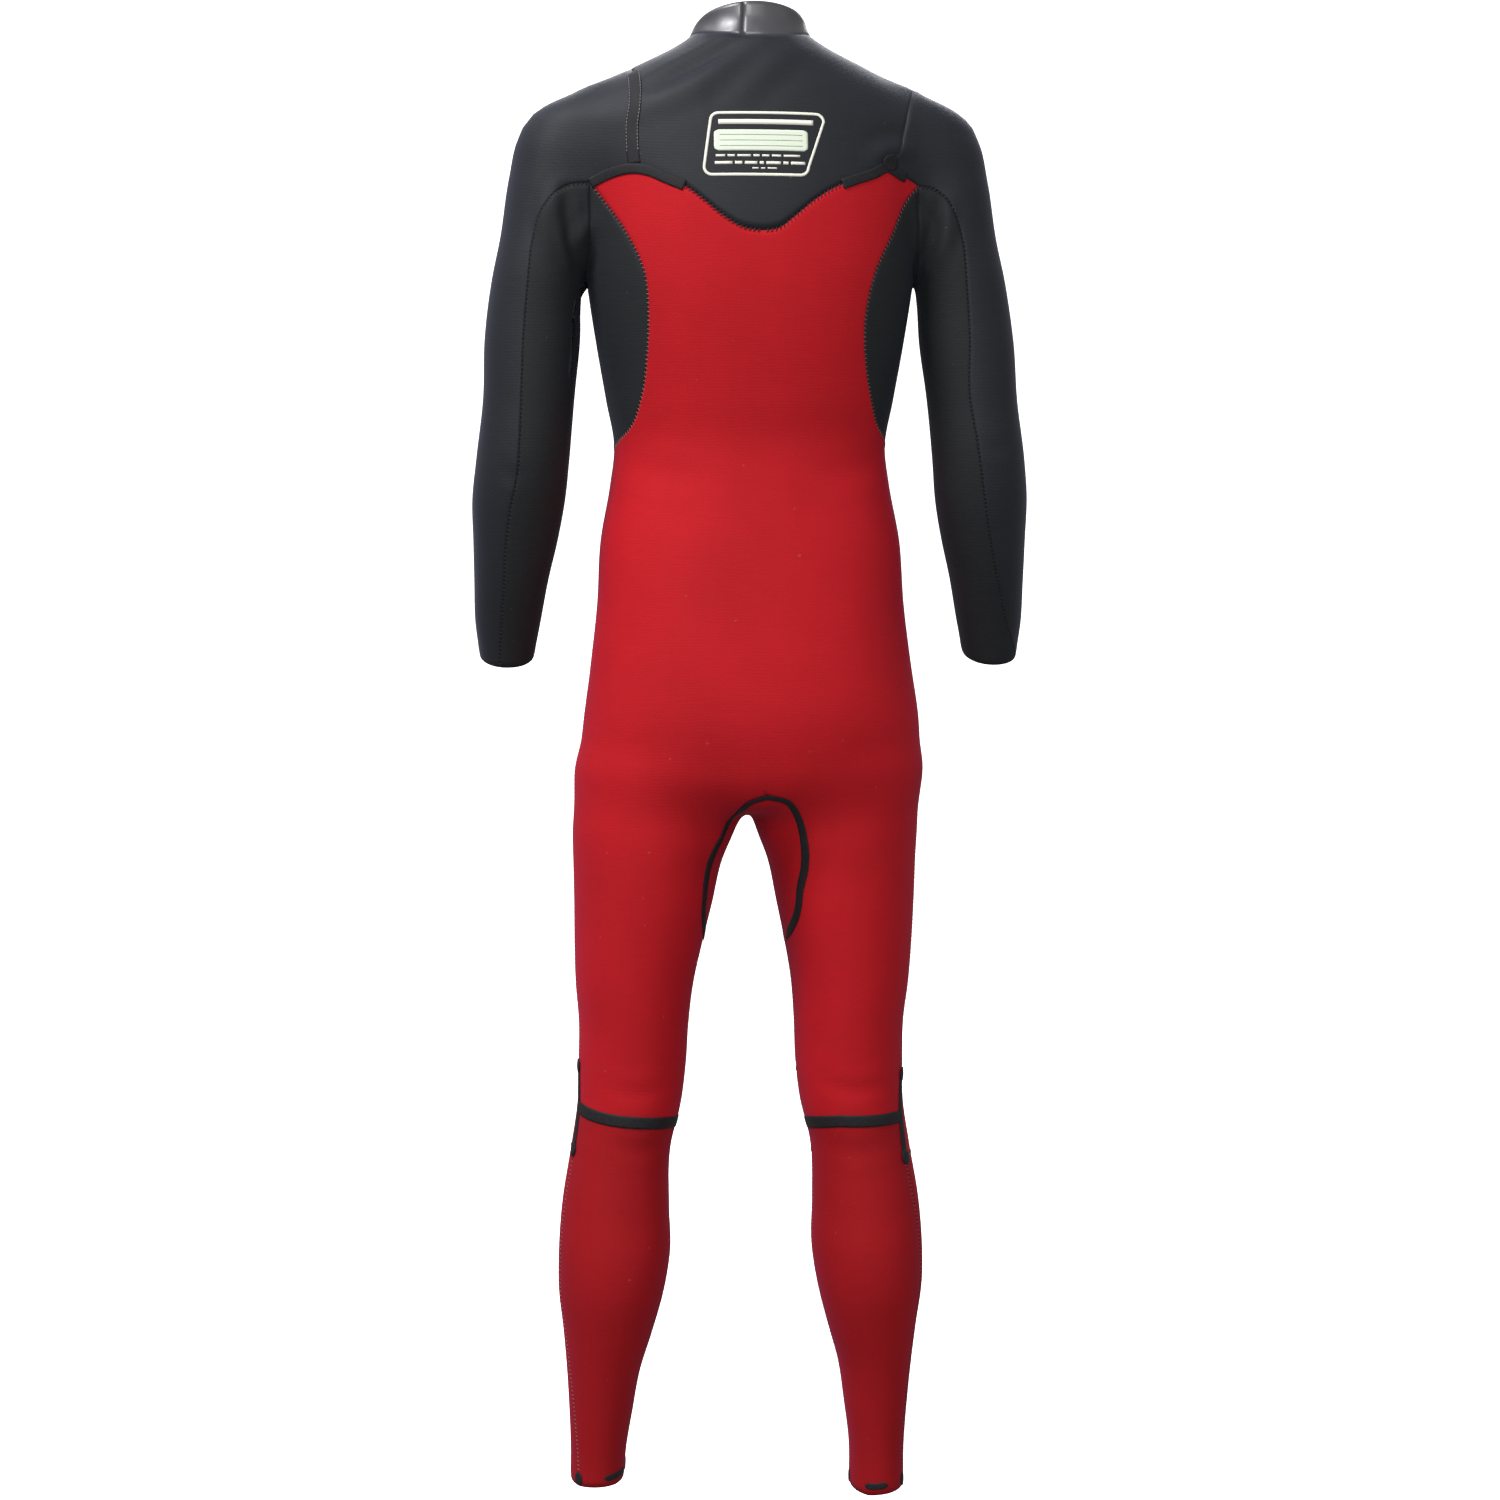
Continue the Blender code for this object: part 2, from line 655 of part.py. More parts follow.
def dot(name, centre, panels, radius):
    """A round patch over a place where seams meet, on top of their tape."""
    normal = normals_at(centre)
    ring = np.concatenate([panel.round_corner(centre) for panel in panels])
    ways = (ring - centre) / np.linalg.norm(ring - centre, axis=1, keepdims=True)
    first = np.cross(normal, np.cross(ways[0], normal))
    order = np.argsort(np.arctan2(ways @ np.cross(normal, first), ways @ first))
    ways = ways[order]
    _, once = np.unique(np.round(ways, 3), axis=0, return_index=True)
    ways = ways[np.sort(once)]
    between = ways + np.roll(ways, -1, axis=0)
    between /= np.linalg.norm(between, axis=1, keepdims=True)
    rim = centre + radius * np.stack([ways, between], 1).reshape(-1, 3)
    points, count = np.concatenate([centre[None], rim]), len(rim)
    faces = np.array([(0, 1 + k, 1 + (k + 1) % count) for k in range(count)])
    normals = normals_at(points)
    low = points + (2 * TAPE_GAP + TAPE_THICK) * normals
    solid(name, "tape", low, low + TAPE_THICK * normals, faces)


# --- The suit's seams -------------------------------------------------------------------


def upper_seams(side, face):
    """The shoulder seam from the top down, the arch to the armhole and the yoke's edge."""
    point, lowest = (YOKE_SEAM, YOKE_POINT) if face == BACK else (CHEST_SEAM, CHEST_POINT)
    out = SHOULDER_TOP.left if side == LEFT else SHOULDER_TOP.right
    top = cast((side * out, 2, -110), (0, 0, 1))
    end = level(SHOULDER_END[side == RIGHT], side, face)
    shoulder = seam([top, *levels(SHOULDER_SEAM, side, face), end], CELLS["shoulder"])
    across = [
        level(ARMHOLE_END, side, face),
        *levels(ARCH, side, face)[::-1],
        end,
        *levels(point, side, face)[::-1],
        on_centre(lowest, face),
    ]
    counts = (CELLS["arch"], CELLS["ridge"] + CELLS["neck"])
    arch, yoke = seam_in_parts(across, 1 + len(ARCH), counts)
    arch[-1], yoke[0] = shoulder[-1], shoulder[-1]
    return {"shoulder": shoulder, "arch": arch, "yoke": yoke}


def sleeve_seam(side, face):
    like = LEFT if face == FRONT else side
    out = CUFF_ACROSS.left if like == LEFT else CUFF_ACROSS.right
    across, _, half_width = RINGS["arm"](CUFF_HEIGHT)[:3]
    turn = face * np.degrees(np.arccos((out - across) / half_width))
    cuff = cuff_ring(side, np.array([turn]))[0]
    rows = levels(SLEEVE_SEAM, side, face, "arm", like)
    points = [level(ARMHOLE_END, side, face), *rows, cuff]
    return joined(*seam_in_parts(points, SLEEVE_CAP_ROW, (CELLS["cap"], CELLS["arm"])))


def armhole(side):
    """The seam down the crease between the arm and the trunk, from the back to the front."""
    turn = np.radians(ARMHOLE)
    way = np.column_stack([0 * turn, np.sin(turn), -np.cos(turn)])
    start = np.array([(side * ARMPIT[0], *ARMPIT[1:])] * len(turn), float)
    for _ in range(12):
        crease = cast(start, way)
        body, arm = body_and_arm(crease)
        start[:, 0] -= side * (body - arm) / 3
    back, front = (level(ARMHOLE_END, side, face) for face in (BACK, FRONT))
    return seam([back, *crease, front], CELLS["armhole"])


def side_seam(side, face):
    waist = outer_line(side, WAIST_POINT, WAIST_POINT, 0)
    rows = levels(SIDE_SEAM, side, face)
    return seam([level(ARMHOLE_END, side, face), *rows, *waist], CELLS["side"])


def gusset_seam(side, face):
    """Half of the gusset's edge, from the middle of the back or the front to its tip."""
    height, across = GUSSET_BACK if face == BACK else GUSSET_FRONT
    tip = inner_line(side, GUSSET_TIP, GUSSET_TIP, 0)
    rows = levels(GUSSET_SEAM, side, face, "leg")
    return seam([on_centre(height, face, across), *rows, *tip], CELLS["gusset"])


def leg_seams(side):
    """The outer and inner seams in their stretches, and the lines that cross the leg."""
    knee_outer, knee_middle, knee_inner = KNEE_SEAM[side]
    top, end = KNEE_TOP[side], KNEE_END[side]
    ankle_outer, ankle_middle, ankle_inner = ANKLE_EDGE[side]
    long = CELLS["hip"] + CELLS["thigh"]
    outer = {
        "thigh": outer_line(side, WAIST_POINT, top, long),
        "pad_top": outer_line(side, top, knee_outer, CELLS["pad_top"]),
        "pad_end": outer_line(side, knee_outer, end, CELLS["pad_end"]),
        "calf": outer_line(side, end, ankle_outer, CELLS["calf"]),
    }
    inner = {
        "thigh": inner_line(side, GUSSET_TIP, top, CELLS["inseam"]),
        "pad_top": inner_line(side, top, knee_inner, CELLS["pad_top"]),
        "pad_end": inner_line(side, knee_inner, end, CELLS["pad_end"]),
        "calf": inner_line(side, end, ankle_inner, CELLS["calf"]),
    }
    count = CELLS["arch"] + CELLS["ridge"] + CELLS["neck"]

    def across(stretch, face, middle=None):
        ends = outer[stretch][-1], inner[stretch][-1]
        return arc("leg", side, *ends, count, inward=face == BACK, middle=middle)

    lines = {
        "pad_top": across("thigh", FRONT),
        "knee": across("pad_top", BACK, knee_middle),
        "pad_end": across("pad_end", FRONT),
        "ankle_back": across("calf", BACK, ankle_middle),
        "ankle_front": across("calf", FRONT),
    }
    return outer, inner, lines


def neck_seam(heights, joint_gap=0.0):
    """The neck's ring from the collar's joint, round by the wearer's right, and back to it."""
    cells = CELLS["neck"]
    degrees = joined(
        np.linspace(COLLAR_JOINT + joint_gap, 90, cells + 1),
        np.linspace(90, 270, 2 * cells + 1),
        np.linspace(270, 360 + COLLAR_JOINT - joint_gap, cells + 1),
    )
    return neck_ring(heights, degrees)


# --- The suit's panels --------------------------------------------------------------------


class Suit:
    """Every seam and panel."""

    def __init__(self):
        self.upper = {(s, f): upper_seams(s, f) for s in (LEFT, RIGHT) for f in (BACK, FRONT)}
        self.sleeve = {(s, f): sleeve_seam(s, f) for s in (LEFT, RIGHT) for f in (BACK, FRONT)}
        self.side = {(s, f): side_seam(s, f) for s in (LEFT, RIGHT) for f in (BACK, FRONT)}
        self.gusset = {(s, f): gusset_seam(s, f) for s in (LEFT, RIGHT) for f in (BACK, FRONT)}
        self.armhole = {s: armhole(s) for s in (LEFT, RIGHT)}
        self.legs = {s: leg_seams(s) for s in (LEFT, RIGHT)}
        self.neck = neck_seam(COLLAR_SEAM)
        self.panels = {}
        self.make_top()
        self.make_bodies()
        for name, side in SIDES.items():
            self.make_sleeve(name, side)
            self.make_leg(name, side)

    def make_top(self):
        grid = neck_seam(COLLAR_SEAM, 0.03), neck_seam(COLLAR_RIM, 0.03)
        rows = [grid[1], on_skin((grid[0] + grid[1]) / 2), grid[0]]
        self.panels["collar"] = Panel(np.stack(rows), rounds=0)
        cells = CELLS["neck"]
        back = joined(self.neck[-cells - 1 :], self.neck[: cells + 1])
        front = self.neck[cells : 3 * cells + 1][::-1]
        for name, face, neck in (("back", BACK, back), ("front", FRONT, front)):
            left, right = (self.upper[s, face] for s in (LEFT, RIGHT))
            tops = [
                seam([part["shoulder"][0], self.ridge_middle(part, end), end], CELLS["ridge"])
                for part, end in ((left, neck[0]), (right, neck[-1]))
            ]
            top = joined(tops[0], neck, tops[1][::-1])
            bottom = joined(left["yoke"], right["yoke"][::-1])
            grid = coons(top, bottom, left["shoulder"], right["shoulder"])
            self.panels["yoke_" + name] = Panel(grid)

    def ridge_middle(self, part, end):
        start = part["shoulder"][0]
        return cast(((start[0] + end[0]) / 2, 2, -90), (0, 0, 1))

    def make_bodies(self):
        for name, face in (("back", BACK), ("front", FRONT)):
            grids = []
            hip, half = CELLS["hip"], CELLS["arch"] + CELLS["ridge"] + CELLS["neck"]
            tops, edges, ends = {}, {}, {}
            for side in (LEFT, RIGHT):
                outer, inner, lines = self.legs[side]
                tops[side] = joined(self.upper[side, face]["arch"], self.upper[side, face]["yoke"])
                edges[side] = joined(self.side[side, face], outer["thigh"][: hip + 1])
                point = edges[side][-1]
                apex = self.gusset[side, face][0]
                across, height = (point[0] + apex[0]) / 2, (point[2] + apex[2]) / 2
                middle = cast((across, -6, height), (0, face, 0))
                quarter = cast((point[0] * 0.85, -6, point[2]), (0, face, 0))
                ends[side] = seam([point, quarter, middle, apex], half)
                down = [outer["thigh"][hip:], outer["pad_top"]][: 2 if face == BACK else 1]
                up = [self.gusset[side, face], inner["thigh"], inner["pad_top"]]
                sides = joined(*down), joined(*up[: 3 if face == BACK else 2])
                bottom = lines["knee" if face == BACK else "pad_top"]
                grid = coons(ends[side], bottom, *sides)
                grids.append(grid if side == LEFT else grid[:, ::-1])
            top = joined(tops[LEFT], tops[RIGHT][::-1])
            bottom = joined(ends[LEFT], ends[RIGHT][::-1])
            trunk = coons(top, bottom, edges[LEFT], edges[RIGHT])
            self.panels["body_" + name] = Panel(trunk, *grids, rounds=5)
        edges = [
            joined(self.gusset[LEFT, face][::-1], self.gusset[RIGHT, face])
            for face in (BACK, FRONT)
        ]
        tips = [np.repeat(edges[0][k : k + 1 or None], CELLS["crotch"] + 1, 0) for k in (0, -1)]
        self.panels["gusset"] = Panel(coons(*edges, *tips))

    def make_sleeve(self, name, side):
        back, front = (self.upper[side, face] for face in (BACK, FRONT))
        top = joined(back["shoulder"][::-1], front["shoulder"])
        seams = [self.sleeve[side, face] for face in (BACK, FRONT)]
        edges = [
            joined(upper["arch"][::-1], line) for upper, line in zip((back, front), seams)
        ]
        cap = CELLS["arch"] + CELLS["cap"]
        guide = arc("arm", side, edges[0][cap], edges[1][cap], len(top) - 1)
        turns = [angle_round("arm", side, line[-1]) for line in seams]
        cuff = cuff_ring(side, np.linspace(*turns, len(top)))
        upper = coons(top, guide, edges[0][: cap + 1], edges[1][: cap + 1])
        lower = coons(guide, cuff, edges[0][cap:], edges[1][cap:])
        self.panels["sleeve_outer_" + name] = Panel(upper, lower)
        hole = self.armhole[side]
        under = cuff_ring(side, np.linspace(turns[0], turns[1] - 360, len(hole)))
        self.panels["sleeve_under_" + name] = Panel(coons(hole, under, *seams))
        sides = [self.side[side, face] for face in (BACK, FRONT)]
        waist = np.repeat(sides[0][-1:], len(hole), 0)
        self.panels["side_" + name] = Panel(coons(hole, waist, *sides))

    def make_leg(self, name, side):
        outer, inner, lines = self.legs[side]
        for panel, top, bottom, stretches in (
            ("knee_", "pad_top", "pad_end", ("pad_top", "pad_end")),
            ("calf_", "knee", "ankle_back", ("pad_end", "calf")),
            ("shin_", "pad_end", "ankle_front", ("calf",)),
        ):
            edges = (joined(*(seams[k] for k in stretches)) for seams in (outer, inner))
            self.panels[panel + name] = Panel(coons(lines[top], lines[bottom], *edges))


PANEL_LOOK = {
    "collar": ("collar", "collar"),
    "yoke": ("jersey", "sleeve"),
    "sleeve_outer": ("jersey", "sleeve"),
    "sleeve_under": ("under", "sleeve"),
    "side": ("under", "sleeve"),
    "body": ("red", "body"),
    "gusset": ("red", "body"),
    "knee": ("red", "body"),
    "calf": ("calf", "body"),
    "shin": ("calf", "body"),
}


def make_panels(suit):
    for name, panel in suit.panels.items():
        kind = next(kind for kind in PANEL_LOOK if name.startswith(kind))
        look, wall = PANEL_LOOK[kind]
        panel_solid(name, look, WALL[wall], panel)


def make_tapes(suit):
    panels = suit.panels
    above = [panels["yoke_back"], panels["sleeve_outer_left"], panels["sleeve_outer_right"]]
    for name, side in SIDES.items():
        seams = suit.upper[side, BACK]
        arch = joined(seams["arch"], seams["yoke"][: ARCH_TAPE_CELLS + 1])
        cells = len(arch) - 1
        tape(
            "tape_arch_" + name, arch, (above, [panels["body_back"]]), ARCH_TAPE / 2,
            stretch=(ARCH_TAPE_START[name], cells, 2 * cells),
        )
    seams = suit.upper[LEFT, BACK]["shoulder"]
    tape(
        "tape_shoulder_left", seams, ([panels["yoke_back"]], [panels["sleeve_outer_left"]]),
        SHOULDER_TAPE / 2, stretch=(1, CELLS["shoulder"] - 0.5, 2 * CELLS["shoulder"] - 3),
    )
    dot(
        "patch_shoulder_right", suit.upper[RIGHT, BACK]["shoulder"][-1],
        (panels["yoke_back"], panels["sleeve_outer_right"], panels["body_back"]), SHOULDER_PATCH,
    )
    crotch = joined(suit.gusset[LEFT, BACK][::-1], suit.gusset[RIGHT, BACK])[2:-2]
    tape(
        "tape_crotch", crotch, ([panels["gusset"]], [panels["body_back"]]), CROTCH_TAPE / 2,
        bend=len(crotch) // 2,
    )


def make_knee_tapes(suit, name, side):
    panels = suit.panels
    outer, inner, lines = suit.legs[side]
    back = [panels["body_back"], panels["calf_" + name]]
    front = [panels["body_front"], panels["knee_" + name], panels["shin_" + name]]
    down = joined(outer["pad_top"], outer["pad_end"])
    cells = len(lines["knee"]) - 1
    tape(
        "tape_knee_" + name, lines["knee"], ([back[0]], [back[1]]), KNEE_TAPE / 2,
        stretch=(0.5, cells, 2 * cells - 1),
    )
    tape("tape_knee_side_" + name, down, (back, [front[1]]), KNEE_SIDE_TAPE / 2)
    dot("patch_knee_top_" + name, down[0], (back[0], front[0], front[1]), KNEE_PATCH)
    dot("patch_knee_end_" + name, down[-1], (back[1], front[1], front[2]), KNEE_PATCH)


def make_ankle_tapes(suit, name, side):
    panels = suit.panels
    calf, shin = panels["calf_" + name], panels["shin_" + name]
    outer, inner, lines = suit.legs[side]
    last = CELLS["calf"]
    for place, line in (("outer", outer["calf"]), ("inner", inner["calf"])):
        half, height = ANKLE_PATCH[place]
        step = np.linalg.norm(line[-1] - line[-2])
        count = 4
        width = half * np.sqrt(1 - np.linspace(0.8, 0, count + 1) ** 2)
        tape(
            f"patch_ankle_{place}_{name}", line, ([calf], [shin]), width,
            stretch=(last - height / step, last - 0.01, count),
        )
    rows, columns = calf.grids[0].shape
    start, end = np.array(ANKLE_DASH[side]) * (columns - 1)
    places = np.array([start, *range(int(start) + 1, int(end) + 1), end])
    grid = calf.between(np.array([rows - 1.42, rows - 1.2]), places)
    strip_solid("tape_ankle_" + name, grid)


def make_zip(suit):
    """The closed zip across the front yoke's seam, its back face out as the rest of the suit."""
    panels = suit.panels
    left, right = (suit.upper[side, FRONT]["yoke"] for side in (LEFT, RIGHT))
    line = joined(left[1:], right[1:][::-1])
    sides = [panels["yoke_front"]], [panels["body_front"]]
    tape("zip_tape", line, sides, ZIP_TAPE / 2, look="zip")
    low = 2 * TAPE_GAP + TAPE_THICK
    high = low + ZIP_CHAIN_THICK
    cells = len(line) - 1
    stretch = (ZIP_END, cells - ZIP_END, 2 * cells)
    tape("zip_chain", line, sides, ZIP_CHAIN / 2, stretch, low=low, high=high, look="zip")
    low, high = high + TAPE_GAP, high + TAPE_GAP + ZIP_SLIDER_THICK
    stretch = (ZIP_END, 2 * ZIP_END, 2)
    tape("zip_slider", line, sides, ZIP_SLIDER / 2, stretch, low=low, high=high, look="zip")


def main():
    for old in list(bpy.data.objects):
        bpy.data.objects.remove(old, do_unlink=True)
    suit = Suit()
    make_panels(suit)
    make_tapes(suit)
    for name, side in SIDES.items():
        make_knee_tapes(suit, name, side)
        make_ankle_tapes(suit, name, side)
    make_zip(suit)


if __name__ == "__main__":
    main()
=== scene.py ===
"""A neoprene wetsuit, turned inside out and filled out as it is worn, laid out as a Blender add-on.

Lengths are in millimetres inside the form's functions, and in metres in the meshes.
+Z is up, the wearer's back faces -Y and the wearer's right side is at +X. Every panel is a
grid between its seams on one smooth skin, so the pieces meet at seams that they share.
"""

import functools
import math
from collections import namedtuple

import bpy
import numpy as np
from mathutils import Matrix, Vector


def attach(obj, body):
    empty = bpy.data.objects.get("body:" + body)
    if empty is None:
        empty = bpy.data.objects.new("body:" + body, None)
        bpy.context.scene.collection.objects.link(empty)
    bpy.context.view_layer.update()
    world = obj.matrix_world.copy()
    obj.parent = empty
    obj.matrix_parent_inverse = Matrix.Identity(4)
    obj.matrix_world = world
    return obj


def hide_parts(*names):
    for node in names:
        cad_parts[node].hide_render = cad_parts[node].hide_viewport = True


bl_info = {
    "name": "Wetsuit",
    "version": (1, 0, 0),
    "blender": (4, 5, 0),
    "location": "3D View > Sidebar > Wetsuit",
    "description": "Makes a filled-out neoprene wetsuit, its tapes, stitches, zip and stage",
    "category": "Object",
}

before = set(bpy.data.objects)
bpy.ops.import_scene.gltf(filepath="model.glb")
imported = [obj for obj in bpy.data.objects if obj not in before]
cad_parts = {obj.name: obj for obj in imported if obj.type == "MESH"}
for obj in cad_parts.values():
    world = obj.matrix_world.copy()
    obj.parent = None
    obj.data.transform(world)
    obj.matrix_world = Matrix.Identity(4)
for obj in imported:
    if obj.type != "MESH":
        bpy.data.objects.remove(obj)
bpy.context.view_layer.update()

METRE = 1000
LEFT, RIGHT = -1, 1
BACK, FRONT = -1, 1
SIDES = {"left": LEFT, "right": RIGHT}

Ring = namedtuple("Ring", "height across ahead half_width half_depth")

TRUNK = (
    Ring(40, 0, 3, 55, 58),
    Ring(4, 0, 3, 57, 60),
    Ring(-3, 0, 3, 61, 63),
    Ring(-12, 0, 3, 74, 69),
    Ring(-36, 0, 3, 121, 82),
    Ring(-60, 0, 2, 161, 92),
    Ring(-80, 0, 1, 176, 98),
    Ring(-110, 0, 0, 178, 103),
    Ring(-160, 0, 0, 170, 110),
    Ring(-240, 0, 0, 162, 111),
    Ring(-300, 0, 1, 153, 106),
    Ring(-357, 0, 3, 143, 99),
    Ring(-404, 0, 4, 135, 94),
    Ring(-440, 0, 3, 139, 96),
    Ring(-496, 0, 0, 149, 103),
    Ring(-560, 0, -4, 153, 110),
    Ring(-620, 0, -7, 160, 115),
    Ring(-680, 0, -8, 168, 116),
    Ring(-720, 0, -7, 170, 110),
    Ring(-770, 0, -6, 160, 96),
)
ARM = (
    Ring(-58, 158, 2, 14, 30),
    Ring(-70, 168, 2, 32, 42),
    Ring(-82, 176, 1, 41, 50),
    Ring(-101, 182, 0, 46, 55),
    Ring(-141, 191, -1, 47, 57),
    Ring(-199, 199, -3, 48, 56),
    Ring(-240, 210.5, -4, 45, 54.5),
    Ring(-262, 213.5, -4, 45.5, 53.5),
    Ring(-298, 216, -5, 47, 52),
    Ring(-357, 220, -6, 45, 49),
    Ring(-416, 226, -3, 46, 49),
    Ring(-456, 230, 4, 46, 48),
    Ring(-496, 233, 13, 42, 44),
    Ring(-536, 237, 24, 37, 40),
    Ring(-576, 240, 36, 33, 35),
    Ring(-611, 241, 46, 28, 31),
    Ring(-650, 242, 58, 27, 30),
)
LEG = (
    Ring(-700, 86, -6, 78, 90),
    Ring(-777, 91, -3, 82, 91),
    Ring(-817, 98, -1, 74, 89),
    Ring(-858, 102, 0, 69, 86),
    Ring(-898, 106, 1, 64, 82),
    Ring(-939, 109, 2, 59, 78),
    Ring(-980, 109, 2, 55, 73),
    Ring(-1020, 110, 1, 54, 68),
    Ring(-1061, 113, -1, 52, 64),
    Ring(-1102, 121, -4, 50, 61),
    Ring(-1164, 127, -10, 54, 63),
    Ring(-1205, 128, -14, 56, 65),
    Ring(-1246, 131, -16, 53, 62),
    Ring(-1288, 134, -15, 45, 55),
    Ring(-1329, 138, -13, 37, 48),
    Ring(-1371, 140, -11, 32, 43),
    Ring(-1412, 142, -9, 28, 40),
    Ring(-1480, 143, -8, 28, 39),
)

# The legs stand a little to the wearer's left of the trunk: height, shift.
LEAN = (
    (0, 0), (-600, 0), (-690, 0), (-730, -2), (-780, -5), (-860, -6), (-1000, -9),
    (-1240, -11), (-1450, -14),
)
# The wearer's right arm hangs a little farther out than the left one: height, shift.
RIGHT_ARM_LEAN = (
    (0, 0), (-280, 0), (-350, 2.5), (-410, 4), (-470, 4.5), (-510, 6), (-560, 8), (-600, 10),
    (-660, 11),
)
# How softly the arms grow out of the trunk: height, blend.
ARM_BLEND = ((-60, 40), (-110, 40), (-200, 26), (-240, 10), (-290, 5), (-700, 4))
LEG_BLEND, THIGH_BLEND = 24, 16
# Each limb is cut off here, softly, where the trunk or nothing takes over: height, blend.
TRUNK_END, ARM_TOP, LEG_TOP, ARM_END = (-762, 40), (-62, 16), (-716, 20), -680

# Collar: heights at the back, the sides and the front, of its seam and of its rim.
COLLAR_SEAM, COLLAR_RIM = (-7, -2, -18), (26, 8, 4)
COLLAR_JOINT = -13  # degrees round the neck

# Where the seams run. Each row is a height and how far out the seam lies on each side.
Level = namedtuple("Level", "height left right")
SHOULDER_TOP = Level(None, 117, 158)
SHOULDER_SEAM = (
    Level(-60, 119, 155),
    Level(-79, 120, 148),
    Level(-97, 123, 144),
    Level(-113, 123, 140),
)
SHOULDER_END = (Level(-139, 121, None), Level(-135, None, 126))
ARCH = (Level(-140, 134, 136), Level(-144, 147, 146))
ARMHOLE_END = Level(-151, 162, 159)
YOKE_POINT = -199
YOKE_SEAM = (
    Level(-197, 16, 14),
    Level(-185, 38, 31),
    Level(-171, 55, 48),
    Level(-158, 72, 68),
    Level(-149, 92, 90),
    Level(-142, 107, 110),
)
CHEST_POINT = -152
CHEST_SEAM = (Level(-151, 40, 40), Level(-148, 80, 80), Level(-142, 107, 112))
# The armhole follows the crease under the arm: places round it in degrees, 0 at its lowest.
ARMPIT = (166, -4, -196)
ARMHOLE = (-70, -45, -22, 0, 22, 45, 70)
SIDE_SEAM = (
    Level(-166, 151, 146),
    Level(-196, 131, 132),
    Level(-238, 112, 112),
    Level(-280, 108, 103),
    Level(-318, 109, 104),
    Level(-350, 112, 110),
    Level(-378, 119, 118),
)
WAIST_POINT = -408
SLEEVE_SEAM = (
    Level(-153, 184, 174),
    Level(-162, 198, 187),
    Level(-178, 210, 196),
    Level(-205, 218, 204),
    Level(-240, 222, 207),
    Level(-300, 227, 211),
    Level(-350, 229, 211),
    Level(-400, 231, 220),
    Level(-430, 233, 225),
    Level(-465, 240, 231),
    Level(-510, 245, 241),
    Level(-547, 246, 251),
    Level(-582, 248, 262),
)
SLEEVE_CAP_ROW = 4  # the row of the sleeve's seam that the cap ends at
CUFF_ACROSS = Level(-616, 249, 266)
GUSSET_BACK, GUSSET_FRONT = (-744, 5), (-728, 0)
GUSSET_SEAM = (
    Level(-749, 10, 24),
    Level(-765, 23, 37),
    Level(-782, 33, 43),
    Level(-800, 42, 46),
    Level(-818, 48, 46),
    Level(-838, 51, 43),
    Level(-858, 52, 42),
)
GUSSET_TIP = -905
# How far ahead the outer seams run on their way down: height, ahead on the left and right.
OUTER_SEAM = (
    (-408, 4, 4), (-560, -1, -3), (-760, -4, -16), (-900, -5, -20), (-1023, -8, -28),
    (-1113, -22, -45), (-1205, -27, -46), (-1329, -32, -38), (-1480, -36, -27),
)
# Where the knee pads start and end, and the seam behind the knee: outer end, middle, inner end.
KNEE_TOP, KNEE_END = {LEFT: -1021, RIGHT: -1032}, {LEFT: -1103, RIGHT: -1114}
KNEE_SEAM = {LEFT: (-1061, -1070, -1079), RIGHT: (-1073, -1073, -1084)}
CUFF_HEIGHT, CUFF_AHEAD, CUFF_SLOPE = -611, 46, 0.47
# The ankle's edge: at the outer seam, in the middle of the back and at the inner seam.
ANKLE_EDGE = {LEFT: (-1443, -1441, -1436), RIGHT: (-1456, -1461, -1457)}

# How finely the scene divides each cell of the solids, and how many cells each seam has.
FINE = 5
CELLS = {
    name: FINE * count
    for name, count in dict(
        ridge=3, neck=5, shoulder=6, arch=2, armhole=10, cap=4, arm=13, side=9, hip=7,
        thigh=13, gusset=10, inseam=3, crotch=4, pad_top=2, pad_end=2, calf=11,
    ).items()
}
COLLAR_ROWS = 9  # from its seam to its rim
# How thick each kind of panel is.
WALL = {"body": 4.0, "sleeve": 3.0, "collar": 2.5}


# --- The skin ---------------------------------------------------------------------------


def curve(table):
    """A smooth curve through rows of a place and one or more values."""
    table = np.array(sorted(table), float)
    places, values = table[:, 0], table[:, 1:]
    slopes = np.gradient(values, places, axis=0)

    def value(at):
        i = np.clip(np.searchsorted(places, at) - 1, 0, len(places) - 2)
        step = (places[i + 1] - places[i])[..., None]
        t = np.clip((np.asarray(at, float) - places[i])[..., None] / step, 0, 1)
        start = (1 + 2 * t) * (1 - t) ** 2 * values[i] + t * (1 - t) ** 2 * step * slopes[i]
        end = t * t * (3 - 2 * t) * values[i + 1] - t * t * (1 - t) * step * slopes[i + 1]
        return start + end

    return value


RINGS = {"trunk": curve(TRUNK), "arm": curve(ARM), "leg": curve(LEG)}
SQUARENESS = {"trunk": 2.3, "arm": 2.1, "leg": 2.1}
lean_at, right_arm_lean_at = curve(LEAN), curve(RIGHT_ARM_LEAN)
blend_at, outer_ahead_at = curve(ARM_BLEND), curve(OUTER_SEAM)


def soft_min(a, b, blend):
    overlap = np.maximum(blend - np.abs(a - b), 0)
    return np.minimum(a, b) - overlap * overlap / (4 * blend)


def soft_max(a, b, blend):
    return -soft_min(-a, -b, blend)


